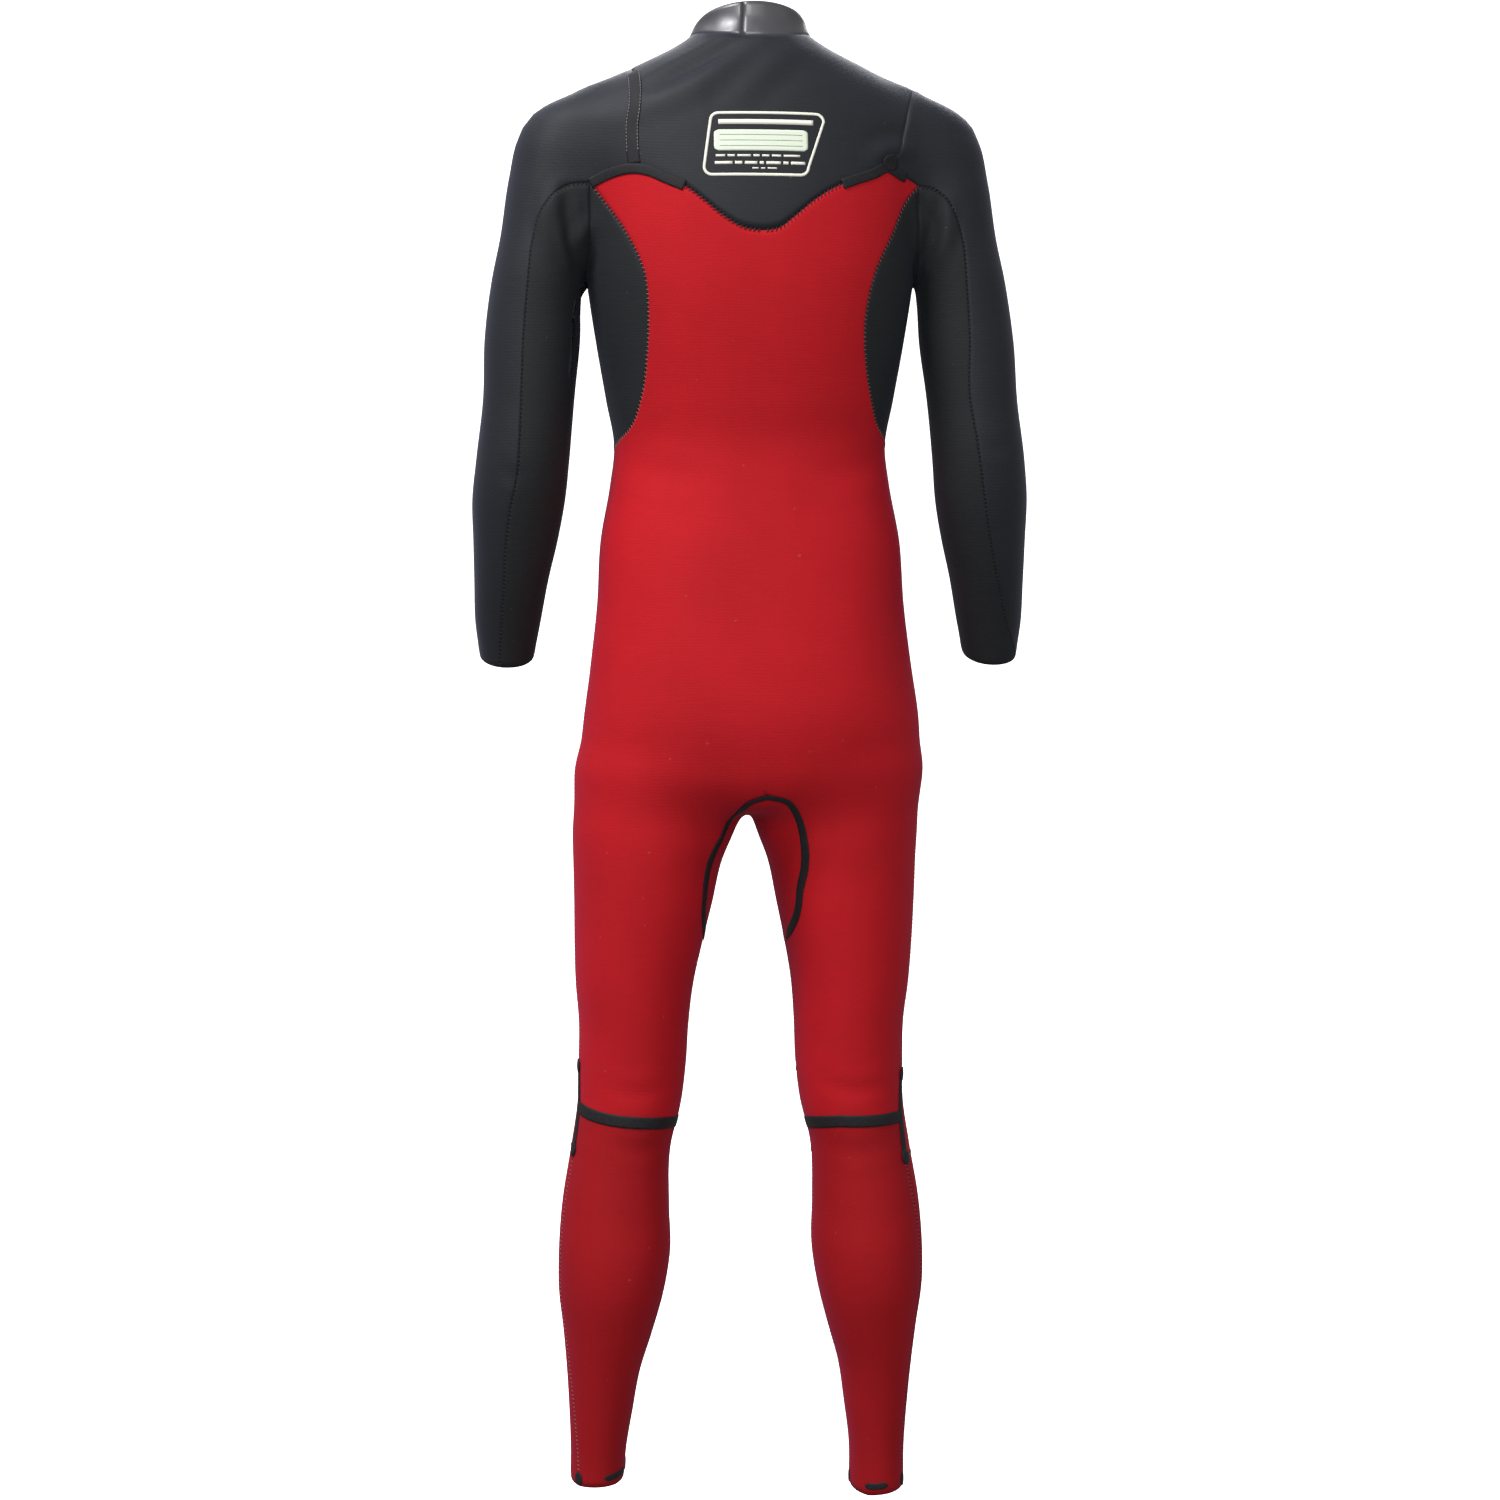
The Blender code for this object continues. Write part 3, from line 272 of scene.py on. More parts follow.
def outside_limb(limb, x, y, z):
    """How far a point lies outside a limb's rings, level with them."""
    across, ahead, half_width, half_depth = np.moveaxis(RINGS[limb](z), -1, 0)
    x, y = x - across, y - ahead
    power = SQUARENESS[limb]
    far = np.hypot(x, y) + 1e-9
    share = (np.abs(x / half_width) ** power + np.abs(y / half_depth) ** power) ** (1 / power)
    return far - far / (share + 1e-9)


def skin(points):
    """How far each point lies outside the suit's outer face, about, and negative inside it."""
    body, arm = body_and_arm(points)
    return soft_min(body, arm, blend_at(np.asarray(points)[..., 2])[..., 0])


def body_and_arm(points):
    x, y, z = np.moveaxis(np.asarray(points, float), -1, 0)
    x = x - lean_at(z)[..., 0]
    out = np.abs(x)
    arm_out = out - np.where(x > 0, right_arm_lean_at(z)[..., 0], 0)
    trunk = soft_max(outside_limb("trunk", x, y, z), TRUNK_END[0] - z, TRUNK_END[1])
    arm = soft_max(outside_limb("arm", arm_out, y, z), z - ARM_TOP[0], ARM_TOP[1])
    leg = soft_max(outside_limb("leg", out, y, z), z - LEG_TOP[0], LEG_TOP[1])
    other_leg = soft_max(outside_limb("leg", -out, y, z), z - LEG_TOP[0], LEG_TOP[1])
    legs = soft_min(leg, other_leg, THIGH_BLEND)
    return soft_min(trunk, legs, LEG_BLEND), np.maximum(arm, ARM_END - z)


def steepest(points, step=0.2):
    """The skin's gradient."""
    moves = step * np.eye(3)
    ahead = np.stack([skin(points + move) for move in moves], -1)
    return (ahead - np.stack([skin(points - move) for move in moves], -1)) / (2 * step)


def normals_at(points):
    slope = steepest(points)
    return slope / np.linalg.norm(slope, axis=-1, keepdims=True)


def on_skin(points, rounds=8, longest=12):
    """The points moved straight to the skin."""
    points = np.array(points, float)
    for _ in range(rounds):
        slope = steepest(points)
        move = -(skin(points) / np.maximum((slope**2).sum(-1), 1e-9))[..., None] * slope
        length = np.linalg.norm(move, axis=-1, keepdims=True)
        points += move * np.minimum(1, longest / np.maximum(length, 1e-9))
    return points


def cast(start, way, reach=260, steps=130, rounds=20):
    """Where rays from inside first leave the skin."""
    start, way = np.broadcast_arrays(np.asarray(start, float), np.asarray(way, float))
    reaches = np.linspace(0, reach, steps + 1)
    first = (skin(start[..., None, :] + reaches[:, None] * way[..., None, :]) > 0).argmax(-1)
    near, far = reaches[first - 1], reaches[first]
    for _ in range(rounds):
        middle = (near + far) / 2
        out = skin(start + middle[..., None] * way) > 0
        near, far = np.where(out, near, middle), np.where(out, middle, far)
    return start + far[..., None] * way


# --- Seams ------------------------------------------------------------------------------


def run_of(line):
    """How far along the line each of its points is."""
    return np.concatenate([[0], np.cumsum(np.linalg.norm(np.diff(line, axis=0), axis=1))])


def unit(ways):
    """The same ways, each one millimetre long."""
    return ways / np.linalg.norm(ways, axis=-1, keepdims=True)


def dense(points, each=24):
    """A fine line on the skin through the points."""
    points = np.array(points, float)
    along = run_of(points)
    line = curve(np.column_stack([along, points]).tolist())
    return on_skin(line(np.linspace(0, along[-1], each * (len(points) - 1) + 1)))


def even(line, count):
    """The line as this many equal steps."""
    along = run_of(line)
    places = np.linspace(0, along[-1], count + 1)
    return np.stack([np.interp(places, along, line[:, k]) for k in range(3)], -1)


def seam(points, count):
    return on_skin(even(dense(points), count))


def seam_in_parts(points, at, counts):
    """One line through the points, parted at one of them, as equal steps in each part."""
    line = dense(points)
    cut = np.linalg.norm(line - points[at], axis=1).argmin()
    return [on_skin(even(part, n)) for part, n in zip((line[: cut + 1], line[cut:]), counts)]


def joined(*lines):
    """Lines that follow one another, as one."""
    return np.concatenate([lines[0], *(line[1:] for line in lines[1:])])


def limb_ahead(limb, height):
    return RINGS[limb](height)[..., 1]


def levels(rows, side, face, limb="trunk", like=None):
    """The rows' points on the front or back of the skin, with the sizes of the side like."""
    height = np.array([row.height for row in rows], float)
    left = (like or side) == LEFT
    out = np.array([row.left if left else row.right for row in rows], float)
    start = np.column_stack([side * out, limb_ahead(limb, height), height])
    return list(cast(start, (0, face, 0)))


def level(row, side, face, limb="trunk"):
    return levels([row], side, face, limb)[0]


def on_centre(height, face, across=0):
    return cast((across, 0, height), (0, face, 0))


def middle_of(limb, side, heights):
    """How far across and ahead the middle of a limb lies at these heights."""
    across, ahead = np.moveaxis(RINGS[limb](heights), -1, 0)[:2]
    across = side * across + lean_at(heights)[..., 0]
    if limb == "arm" and side == RIGHT:
        across = across + right_arm_lean_at(heights)[..., 0]
    return across, ahead


def round_limb(limb, side, heights, degrees):
    """Points on a limb at these heights and angles: 0 is outward, -90 the back, 180 inward."""
    heights, turn = np.asarray(heights, float), np.radians(degrees)
    middle = np.stack([*middle_of(limb, side, heights), heights], -1)
    return cast(middle, np.stack([side * np.cos(turn), np.sin(turn), 0 * turn], -1))


def angle_round(limb, side, point):
    across, ahead = middle_of(limb, side, point[2])
    return np.degrees(np.arctan2(point[1] - ahead, side * (point[0] - across)))


def arc(limb, side, start, end, count, inward=False, middle=None):
    """A line round a limb between two points, by the outside of it or by the inside."""
    first, last = (angle_round(limb, side, point) for point in (start, end))
    if inward:
        last -= 360
    share = np.linspace(0, 1, count + 1)
    stops = (start[2], (start[2] + end[2]) / 2 if middle is None else middle, end[2])
    ring = round_limb(
        limb, side, np.interp(share, (0, 0.5, 1), stops), first + share * (last - first)
    )
    ring[0], ring[-1] = start, end
    return ring


def cuff_ring(side, degrees):
    """Points of the cuff's edge, which slopes with the forearm."""
    heights = np.full(len(degrees), float(CUFF_HEIGHT))
    for _ in range(8):
        ring = round_limb("arm", side, heights, degrees)
        heights = CUFF_HEIGHT + CUFF_SLOPE * (ring[:, 1] - CUFF_AHEAD)
    return ring


def neck_ring(heights, degrees):
    """Points round the neck: 0 is the back and 90 the wearer's right."""
    back, side, front = heights
    turn = np.radians(degrees)
    height = (
        (back + front + 2 * side) / 4
        + (back - front) / 2 * np.cos(turn)
        + (back + front - 2 * side) / 4 * np.cos(2 * turn)
    )
    start = np.stack([0 * turn, limb_ahead("trunk", height), height], -1)
    return cast(start, np.stack([np.sin(turn), -np.cos(turn), 0 * turn], -1))


def outer_line(side, start, end, count):
    """The outer seam between two heights."""
    heights = np.linspace(start, end, count + 1)
    across, _ = middle_of("leg", side, heights)
    ahead = outer_ahead_at(heights)[:, 0 if side == LEFT else 1]
    return cast(np.column_stack([across, ahead, heights]), (side, 0, 0))


def inner_line(side, start, end, count):
    """The inner seam between two heights."""
    return round_limb("leg", side, np.linspace(start, end, count + 1), np.full(count + 1, 180.0))


# --- Panels -----------------------------------------------------------------------------


def coons(top, bottom, left, right):
    """A grid between four edges. Rows run from top to bottom, columns from left to right."""
    v = np.linspace(0, 1, len(left))[:, None, None]
    u = np.linspace(0, 1, len(top))[None, :, None]
    across = (1 - u) * left[:, None] + u * right[:, None]
    down = (1 - v) * top[None] + v * bottom[None]
    corners = (1 - v) * ((1 - u) * top[0] + u * top[-1]) + v * (
        (1 - u) * bottom[0] + u * bottom[-1]
    )
    return on_skin(across + down - corners)


def quads_of(grid):
    corners = grid[:-1, :-1], grid[1:, :-1], grid[1:, 1:], grid[:-1, 1:]
    return np.stack([corner.ravel() for corner in corners], -1)


def sides_of(faces):
    """The faces' edges, in order round each. A face that closes to a point has fewer."""
    count = faces.shape[1]
    sides = np.concatenate([faces[:, [k, (k + 1) % count]] for k in range(count)])
    return sides[sides[:, 0] != sides[:, 1]]


def faced_out(points, faces, normals):
    """The faces, turned round if they face into the suit."""
    a, b, c = (points[faces[:, k]] for k in (0, 1, 2))
    facing = (np.cross(b - a, c - a) * normals[faces[:, 0]]).sum()
    return faces[:, ::-1] if facing < 0 else faces


class Web:
    """The points of one or more grids that meet, with each shared point once."""

    def __init__(self, grids):
        everything = np.concatenate([grid.reshape(-1, 3) for grid in grids])
        _, first, index = np.unique(
            np.round(everything, 2), axis=0, return_index=True, return_inverse=True
        )
        self.points, index, self.grids, start = everything[first], index.reshape(-1), [], 0
        for grid in grids:
            rows, columns = grid.shape[:2]
            self.grids.append(index[start : start + rows * columns].reshape(rows, columns))
            start += rows * columns
        self.faces = np.concatenate([quads_of(grid) for grid in self.grids])
        self.edges, uses = np.unique(np.sort(sides_of(self.faces), 1), axis=0, return_counts=True)
        self.rim = np.zeros(len(self.points), bool)
        self.rim[self.edges[uses == 1]] = True

    def relax(self, rounds):
        """Evens the points out, with the rim held."""
        a, b = self.edges.T
        count = np.bincount(self.edges.ravel(), minlength=len(self.points))[:, None]
        for _ in range(rounds):
            total = np.zeros_like(self.points)
            np.add.at(total, a, self.points[b])
            np.add.at(total, b, self.points[a])
            even_place = (self.points + total / count) / 2
            moved = on_skin(np.where(self.rim[:, None], self.points, even_place), rounds=2)
            self.points = np.where(self.rim[:, None], self.points, moved)


def spread(shift):
    """Moves of every FINEth point, shared out to the points between them."""
    rows, columns = (FINE * (count - 1) + 1 for count in shift.shape[:2])
    i = np.minimum(np.arange(rows) // FINE, shift.shape[0] - 2)
    j = np.minimum(np.arange(columns) // FINE, shift.shape[1] - 2)
    v = (np.arange(rows) / FINE - i)[:, None, None]
    u = (np.arange(columns) / FINE - j)[None, :, None]
    low = (1 - u) * shift[i][:, j] + u * shift[i][:, j + 1]
    high = (1 - u) * shift[i + 1][:, j] + u * shift[i + 1][:, j + 1]
    return (1 - v) * low + v * high


class Panel(Web):
    """One cut piece: its points on the skin, the faces between them and the way out of it."""

    def __init__(self, *grids, rounds=12):
        if rounds:
            coarse = Web([grid[::FINE, ::FINE] for grid in grids])
            before = coarse.points.copy()
            coarse.relax(rounds)
            moves = coarse.points - before
            grids = [
                on_skin(grid + spread(moves[index])) for grid, index in zip(grids, coarse.grids)
            ]
        super().__init__(grids)
        self.normals = normals_at(self.points)
        self.faces = faced_out(self.points, self.faces, self.normals)


# --- The suit's seams -------------------------------------------------------------------


def upper_seams(side, face):
    """The shoulder seam from the top down, the arch to the armhole and the yoke's edge."""
    point, lowest = (YOKE_SEAM, YOKE_POINT) if face == BACK else (CHEST_SEAM, CHEST_POINT)
    out = SHOULDER_TOP.left if side == LEFT else SHOULDER_TOP.right
    top = cast((side * out, 2, -110), (0, 0, 1))
    end = level(SHOULDER_END[side == RIGHT], side, face)
    shoulder = seam([top, *levels(SHOULDER_SEAM, side, face), end], CELLS["shoulder"])
    across = [
        level(ARMHOLE_END, side, face),
        *levels(ARCH, side, face)[::-1],
        end,
        *levels(point, side, face)[::-1],
        on_centre(lowest, face),
    ]
    counts = (CELLS["arch"], CELLS["ridge"] + CELLS["neck"])
    arch, yoke = seam_in_parts(across, 1 + len(ARCH), counts)
    arch[-1], yoke[0] = shoulder[-1], shoulder[-1]
    return {"shoulder": shoulder, "arch": arch, "yoke": yoke}


def sleeve_seam(side, face):
    like = LEFT if face == FRONT else side
    out = CUFF_ACROSS.left if like == LEFT else CUFF_ACROSS.right
    across, _, half_width = RINGS["arm"](CUFF_HEIGHT)[:3]
    turn = face * np.degrees(np.arccos((out - across) / half_width))
    cuff = cuff_ring(side, np.array([turn]))[0]
    rows = levels(SLEEVE_SEAM, side, face, "arm", like)
    points = [level(ARMHOLE_END, side, face), *rows, cuff]
    return joined(*seam_in_parts(points, SLEEVE_CAP_ROW, (CELLS["cap"], CELLS["arm"])))


def armhole(side):
    """The seam down the crease between the arm and the trunk, from the back to the front."""
    turn = np.radians(ARMHOLE)
    way = np.column_stack([0 * turn, np.sin(turn), -np.cos(turn)])
    start = np.array([(side * ARMPIT[0], *ARMPIT[1:])] * len(turn), float)
    for _ in range(12):
        crease = cast(start, way)
        body, arm = body_and_arm(crease)
        start[:, 0] -= side * (body - arm) / 3
    back, front = (level(ARMHOLE_END, side, face) for face in (BACK, FRONT))
    return seam([back, *crease, front], CELLS["armhole"])


def side_seam(side, face):
    waist = outer_line(side, WAIST_POINT, WAIST_POINT, 0)
    rows = levels(SIDE_SEAM, side, face)
    return seam([level(ARMHOLE_END, side, face), *rows, *waist], CELLS["side"])


def gusset_seam(side, face):
    """Half of the gusset's edge, from the middle of the back or the front to its tip."""
    height, across = GUSSET_BACK if face == BACK else GUSSET_FRONT
    tip = inner_line(side, GUSSET_TIP, GUSSET_TIP, 0)
    rows = levels(GUSSET_SEAM, side, face, "leg")
    return seam([on_centre(height, face, across), *rows, *tip], CELLS["gusset"])


def leg_seams(side):
    """The outer and inner seams in their stretches, and the lines that cross the leg."""
    knee_outer, knee_middle, knee_inner = KNEE_SEAM[side]
    top, end = KNEE_TOP[side], KNEE_END[side]
    ankle_outer, ankle_middle, ankle_inner = ANKLE_EDGE[side]
    long = CELLS["hip"] + CELLS["thigh"]
    outer = {
        "thigh": outer_line(side, WAIST_POINT, top, long),
        "pad_top": outer_line(side, top, knee_outer, CELLS["pad_top"]),
        "pad_end": outer_line(side, knee_outer, end, CELLS["pad_end"]),
        "calf": outer_line(side, end, ankle_outer, CELLS["calf"]),
    }
    inner = {
        "thigh": inner_line(side, GUSSET_TIP, top, CELLS["inseam"]),
        "pad_top": inner_line(side, top, knee_inner, CELLS["pad_top"]),
        "pad_end": inner_line(side, knee_inner, end, CELLS["pad_end"]),
        "calf": inner_line(side, end, ankle_inner, CELLS["calf"]),
    }
    count = CELLS["arch"] + CELLS["ridge"] + CELLS["neck"]

    def across(stretch, face, middle=None):
        ends = outer[stretch][-1], inner[stretch][-1]
        return arc("leg", side, *ends, count, inward=face == BACK, middle=middle)

    lines = {
        "pad_top": across("thigh", FRONT),
        "knee": across("pad_top", BACK, knee_middle),
        "pad_end": across("pad_end", FRONT),
        "ankle_back": across("calf", BACK, ankle_middle),
        "ankle_front": across("calf", FRONT),
    }
    return outer, inner, lines


def neck_seam(heights, joint_gap=0.0):
    """The neck's ring from the collar's joint, round by the wearer's right, and back to it."""
    cells = CELLS["neck"]
    degrees = joined(
        np.linspace(COLLAR_JOINT + joint_gap, 90, cells + 1),
        np.linspace(90, 270, 2 * cells + 1),
        np.linspace(270, 360 + COLLAR_JOINT - joint_gap, cells + 1),
    )
    return neck_ring(heights, degrees)


# --- The suit's panels --------------------------------------------------------------------


# The gap between the arm and the trunk below the armpit: its top and how far down a sleeve's
# points may slide across it, its middle across, and a place just inside the arm.
GAP_TOP, GAP_END, GAP_ACROSS, IN_ARM = -246.5, -276, 163.2, 171


def off_the_trunk(sleeve, side):
    """Puts the sleeve's points that slid across the gap below the armpit back on the arm."""
    across, height = side * sleeve.points[:, 0], sleeve.points[:, 2]
    slid = (height > GAP_END) & (height < GAP_TOP) & (across < GAP_ACROSS)
    slid &= ~sleeve.rim.astype(bool)
    moved = sleeve.points[slid]
    moved[:, 0] = side * IN_ARM
    sleeve.points[slid] = on_skin(moved)
    sleeve.normals = normals_at(sleeve.points)


class Suit:
    """Every seam and panel."""

    def __init__(self):
        self.upper = {(s, f): upper_seams(s, f) for s in (LEFT, RIGHT) for f in (BACK, FRONT)}
        self.sleeve = {(s, f): sleeve_seam(s, f) for s in (LEFT, RIGHT) for f in (BACK, FRONT)}
        self.side = {(s, f): side_seam(s, f) for s in (LEFT, RIGHT) for f in (BACK, FRONT)}
        self.gusset = {(s, f): gusset_seam(s, f) for s in (LEFT, RIGHT) for f in (BACK, FRONT)}
        self.armhole = {s: armhole(s) for s in (LEFT, RIGHT)}
        self.legs = {s: leg_seams(s) for s in (LEFT, RIGHT)}
        self.neck = neck_seam(COLLAR_SEAM)
        self.panels = {}
        self.make_top()
        self.make_bodies()
        for name, side in SIDES.items():
            self.make_sleeve(name, side)
            self.make_leg(name, side)

    def make_top(self):
        grid = neck_seam(COLLAR_SEAM, 0.03), neck_seam(COLLAR_RIM, 0.03)
        share = np.linspace(0, 1, COLLAR_ROWS)[:, None, None]
        self.panels["collar"] = Panel(on_skin(grid[1] + share * (grid[0] - grid[1])), rounds=0)
        cells = CELLS["neck"]
        back = joined(self.neck[-cells - 1 :], self.neck[: cells + 1])
        front = self.neck[cells : 3 * cells + 1][::-1]
        for name, face, neck in (("back", BACK, back), ("front", FRONT, front)):
            left, right = (self.upper[s, face] for s in (LEFT, RIGHT))
            tops = [
                seam([part["shoulder"][0], self.ridge_middle(part, end), end], CELLS["ridge"])
                for part, end in ((left, neck[0]), (right, neck[-1]))
            ]
            top = joined(tops[0], neck, tops[1][::-1])
            bottom = joined(left["yoke"], right["yoke"][::-1])
            grid = coons(top, bottom, left["shoulder"], right["shoulder"])
            self.panels["yoke_" + name] = Panel(grid)

    def ridge_middle(self, part, end):
        start = part["shoulder"][0]
        return cast(((start[0] + end[0]) / 2, 2, -90), (0, 0, 1))

    def make_bodies(self):
        for name, face in (("back", BACK), ("front", FRONT)):
            grids = []
            hip, half = CELLS["hip"], CELLS["arch"] + CELLS["ridge"] + CELLS["neck"]
            tops, edges, ends = {}, {}, {}
            for side in (LEFT, RIGHT):
                outer, inner, lines = self.legs[side]
                tops[side] = joined(self.upper[side, face]["arch"], self.upper[side, face]["yoke"])
                edges[side] = joined(self.side[side, face], outer["thigh"][: hip + 1])
                point = edges[side][-1]
                apex = self.gusset[side, face][0]
                across, height = (point[0] + apex[0]) / 2, (point[2] + apex[2]) / 2
                middle = cast((across, -6, height), (0, face, 0))
                quarter = cast((point[0] * 0.85, -6, point[2]), (0, face, 0))
                ends[side] = seam([point, quarter, middle, apex], half)
                down = [outer["thigh"][hip:], outer["pad_top"]][: 2 if face == BACK else 1]
                up = [self.gusset[side, face], inner["thigh"], inner["pad_top"]]
                sides = joined(*down), joined(*up[: 3 if face == BACK else 2])
                bottom = lines["knee" if face == BACK else "pad_top"]
                grid = coons(ends[side], bottom, *sides)
                grids.append(grid if side == LEFT else grid[:, ::-1])
            top = joined(tops[LEFT], tops[RIGHT][::-1])
            bottom = joined(ends[LEFT], ends[RIGHT][::-1])
            trunk = coons(top, bottom, edges[LEFT], edges[RIGHT])
            self.panels["body_" + name] = Panel(trunk, *grids, rounds=5)
        edges = [
            joined(self.gusset[LEFT, face][::-1], self.gusset[RIGHT, face])
            for face in (BACK, FRONT)
        ]
        tips = [np.repeat(edges[0][k : k + 1 or None], CELLS["crotch"] + 1, 0) for k in (0, -1)]
        self.panels["gusset"] = Panel(coons(*edges, *tips))

    def make_sleeve(self, name, side):
        back, front = (self.upper[side, face] for face in (BACK, FRONT))
        top = joined(back["shoulder"][::-1], front["shoulder"])
        seams = [self.sleeve[side, face] for face in (BACK, FRONT)]
        edges = [
            joined(upper["arch"][::-1], line) for upper, line in zip((back, front), seams)
        ]
        cap = CELLS["arch"] + CELLS["cap"]
        guide = arc("arm", side, edges[0][cap], edges[1][cap], len(top) - 1)
        turns = [angle_round("arm", side, line[-1]) for line in seams]
        cuff = cuff_ring(side, np.linspace(*turns, len(top)))
        upper = coons(top, guide, edges[0][: cap + 1], edges[1][: cap + 1])
        lower = coons(guide, cuff, edges[0][cap:], edges[1][cap:])
        self.panels["sleeve_outer_" + name] = Panel(upper, lower)
        hole = self.armhole[side]
        under = cuff_ring(side, np.linspace(turns[0], turns[1] - 360, len(hole)))
        sleeve = self.panels["sleeve_under_" + name] = Panel(coons(hole, under, *seams))
        off_the_trunk(sleeve, side)
        sides = [self.side[side, face] for face in (BACK, FRONT)]
        waist = np.repeat(sides[0][-1:], len(hole), 0)
        self.panels["side_" + name] = Panel(coons(hole, waist, *sides))

    def make_leg(self, name, side):
        outer, inner, lines = self.legs[side]
        for panel, top, bottom, stretches in (
            ("knee_", "pad_top", "pad_end", ("pad_top", "pad_end")),
            ("calf_", "knee", "ankle_back", ("pad_end", "calf")),
            ("shin_", "pad_end", "ankle_front", ("calf",)),
        ):
            edges = (joined(*(seams[k] for k in stretches)) for seams in (outer, inner))
            self.panels[panel + name] = Panel(coons(lines[top], lines[bottom], *edges))


# --- Creases ----------------------------------------------------------------------------

# Soft folds in the cloth: where each runs on the skin, how far across it reaches and how deep
# it is, as a trough where that is positive and as a ridge where it is negative.
Crease = namedtuple("Crease", "face limb path reach depth")
CREASES = (
    # The drag from the collar's joint across the wearer's left shoulder blade.
    Crease(BACK, "trunk", ((-8, -10), (-43, -28), (-76, -45), (-104, -60)), 8, 4.6),
    Crease(BACK, "trunk", ((0, -22), (-38, -45), (-74, -66), (-110, -78)), 11, -3.4),
    Crease(BACK, "trunk", ((34, -22), (4, -44), (-24, -66)), 12, -3.0),
    Crease(BACK, "trunk", ((108, -128), (122, -119), (146, -116)), 8, -3.0),
    # Folds down into the left armpit.
    Crease(BACK, "arm", ((-186, -158), (-184, -180), (-180, -206), (-174, -232)), 6, 4.0),
    Crease(BACK, "arm", ((-160, -184), (-166, -195), (-174, -209)), 7, -2.6),
    Crease(BACK, "arm", ((-199, -160), (-205, -186), (-202, -214)), 8, -2.2),
    # And into the right one, where there are two.
    Crease(BACK, "arm", ((158, -162), (170, -182), (168, -207), (159, -234)), 5, 3.8),
    Crease(BACK, "arm", ((178, -166), (177, -196), (172, -224)), 5, 3.2),
    Crease(BACK, "arm", ((190, -164), (190, -192), (184, -222)), 6, -1.8),
    # The same at the front of the armpits, and over the chest.
    Crease(FRONT, "arm", ((-182, -158), (-181, -182), (-175, -210), (-170, -236)), 6, 4.0),
    Crease(FRONT, "arm", ((-168, -180), (-176, -200), (-178, -222)), 6, -2.0),
    Crease(FRONT, "arm", ((168, -160), (176, -184), (172, -212), (164, -238)), 6, 4.2),
    Crease(FRONT, "arm", ((186, -166), (188, -196), (182, -220)), 6, -2.0),
    Crease(FRONT, "trunk", ((-140, -176), (-118, -190), (-88, -198)), 9, 1.6),
    Crease(FRONT, "trunk", ((134, -180), (108, -192), (84, -196)), 8, 1.4),
    # The collar pulls at the front too.
    Crease(FRONT, "trunk", ((34, -26), (58, -48), (74, -76)), 8, 1.6),
    Crease(FRONT, "trunk", ((-30, -28), (-50, -52), (-62, -84)), 9, -1.4),
    # The bend of each elbow, at the front, and the slack at its back.
    Crease(FRONT, "arm", ((-258, -404), (-232, -412), (-205, -407)), 6, 2.6),
    Crease(FRONT, "arm", ((-262, -424), (-234, -431), (-208, -428)), 5, 1.8),
    Crease(FRONT, "arm", ((206, -400), (232, -410), (258, -406)), 6, 2.4),
    Crease(FRONT, "arm", ((212, -426), (236, -430), (262, -421)), 6, 1.9),
    Crease(BACK, "arm", ((-250, -426), (-238, -433), (-226, -429)), 7, 0.9),
    Crease(BACK, "arm", ((226, -400), (242, -405), (256, -398)), 7, 0.9),
    # The waist, where the back hollows, and the folds over the front of the hips.
    Crease(BACK, "trunk", ((-128, -420), (-92, -431), (-50, -434)), 12, 1.1),
    Crease(BACK, "trunk", ((52, -430), (90, -428), (126, -416)), 12, 1.0),
    Crease(FRONT, "trunk", ((-112, -452), (-60, -466), (-8, -468)), 12, 1.4),
    Crease(FRONT, "trunk", ((20, -446), (66, -452), (112, -440)), 12, 1.2),
    Crease(FRONT, "trunk", ((-128, -690), (-92, -722), (-52, -748)), 9, 2.6),
    Crease(FRONT, "trunk", ((124, -694), (90, -724), (46, -746)), 9, 2.4),
    Crease(FRONT, "trunk", ((-74, -778), (-52, -764), (-30, -748)), 6, 1.6),
    Crease(FRONT, "trunk", ((64, -782), (44, -766), (22, -750)), 6, 1.8),
    # Under the seat, and the pull of the crotch.
    Crease(BACK, "leg", ((-120, -742), (-84, -756), (-44, -750)), 26, 1.3),
    Crease(BACK, "leg", ((36, -746), (76, -756), (112, -742)), 26, 1.2),
    Crease(BACK, "leg", ((-58, -772), (-50, -800), (-54, -828)), 9, 1.2),
    Crease(BACK, "leg", ((50, -768), (56, -796), (54, -826)), 9, -1.0),
    # The backs and fronts of the knees.
    Crease(BACK, "leg", ((-150, -1034), (-122, -1041), (-90, -1036)), 8, 1.1),
    Crease(BACK, "leg", ((-146, -1092), (-118, -1098), (-88, -1090)), 8, 1.0),
    Crease(BACK, "leg", ((66, -1034), (96, -1042), (130, -1038)), 8, 1.2),
    Crease(BACK, "leg", ((70, -1100), (100, -1104), (136, -1096)), 9, 0.9),
    Crease(FRONT, "leg", ((-150, -1012), (-118, -1018), (-88, -1010)), 7, 1.4),
    Crease(FRONT, "leg", ((72, -1008), (104, -1016), (136, -1012)), 7, 1.2),
    Crease(FRONT, "leg", ((-152, -1128), (-124, -1136), (-96, -1130)), 7, 1.4),
    Crease(FRONT, "leg", ((82, -1130), (112, -1138), (142, -1128)), 7, 1.3),
)


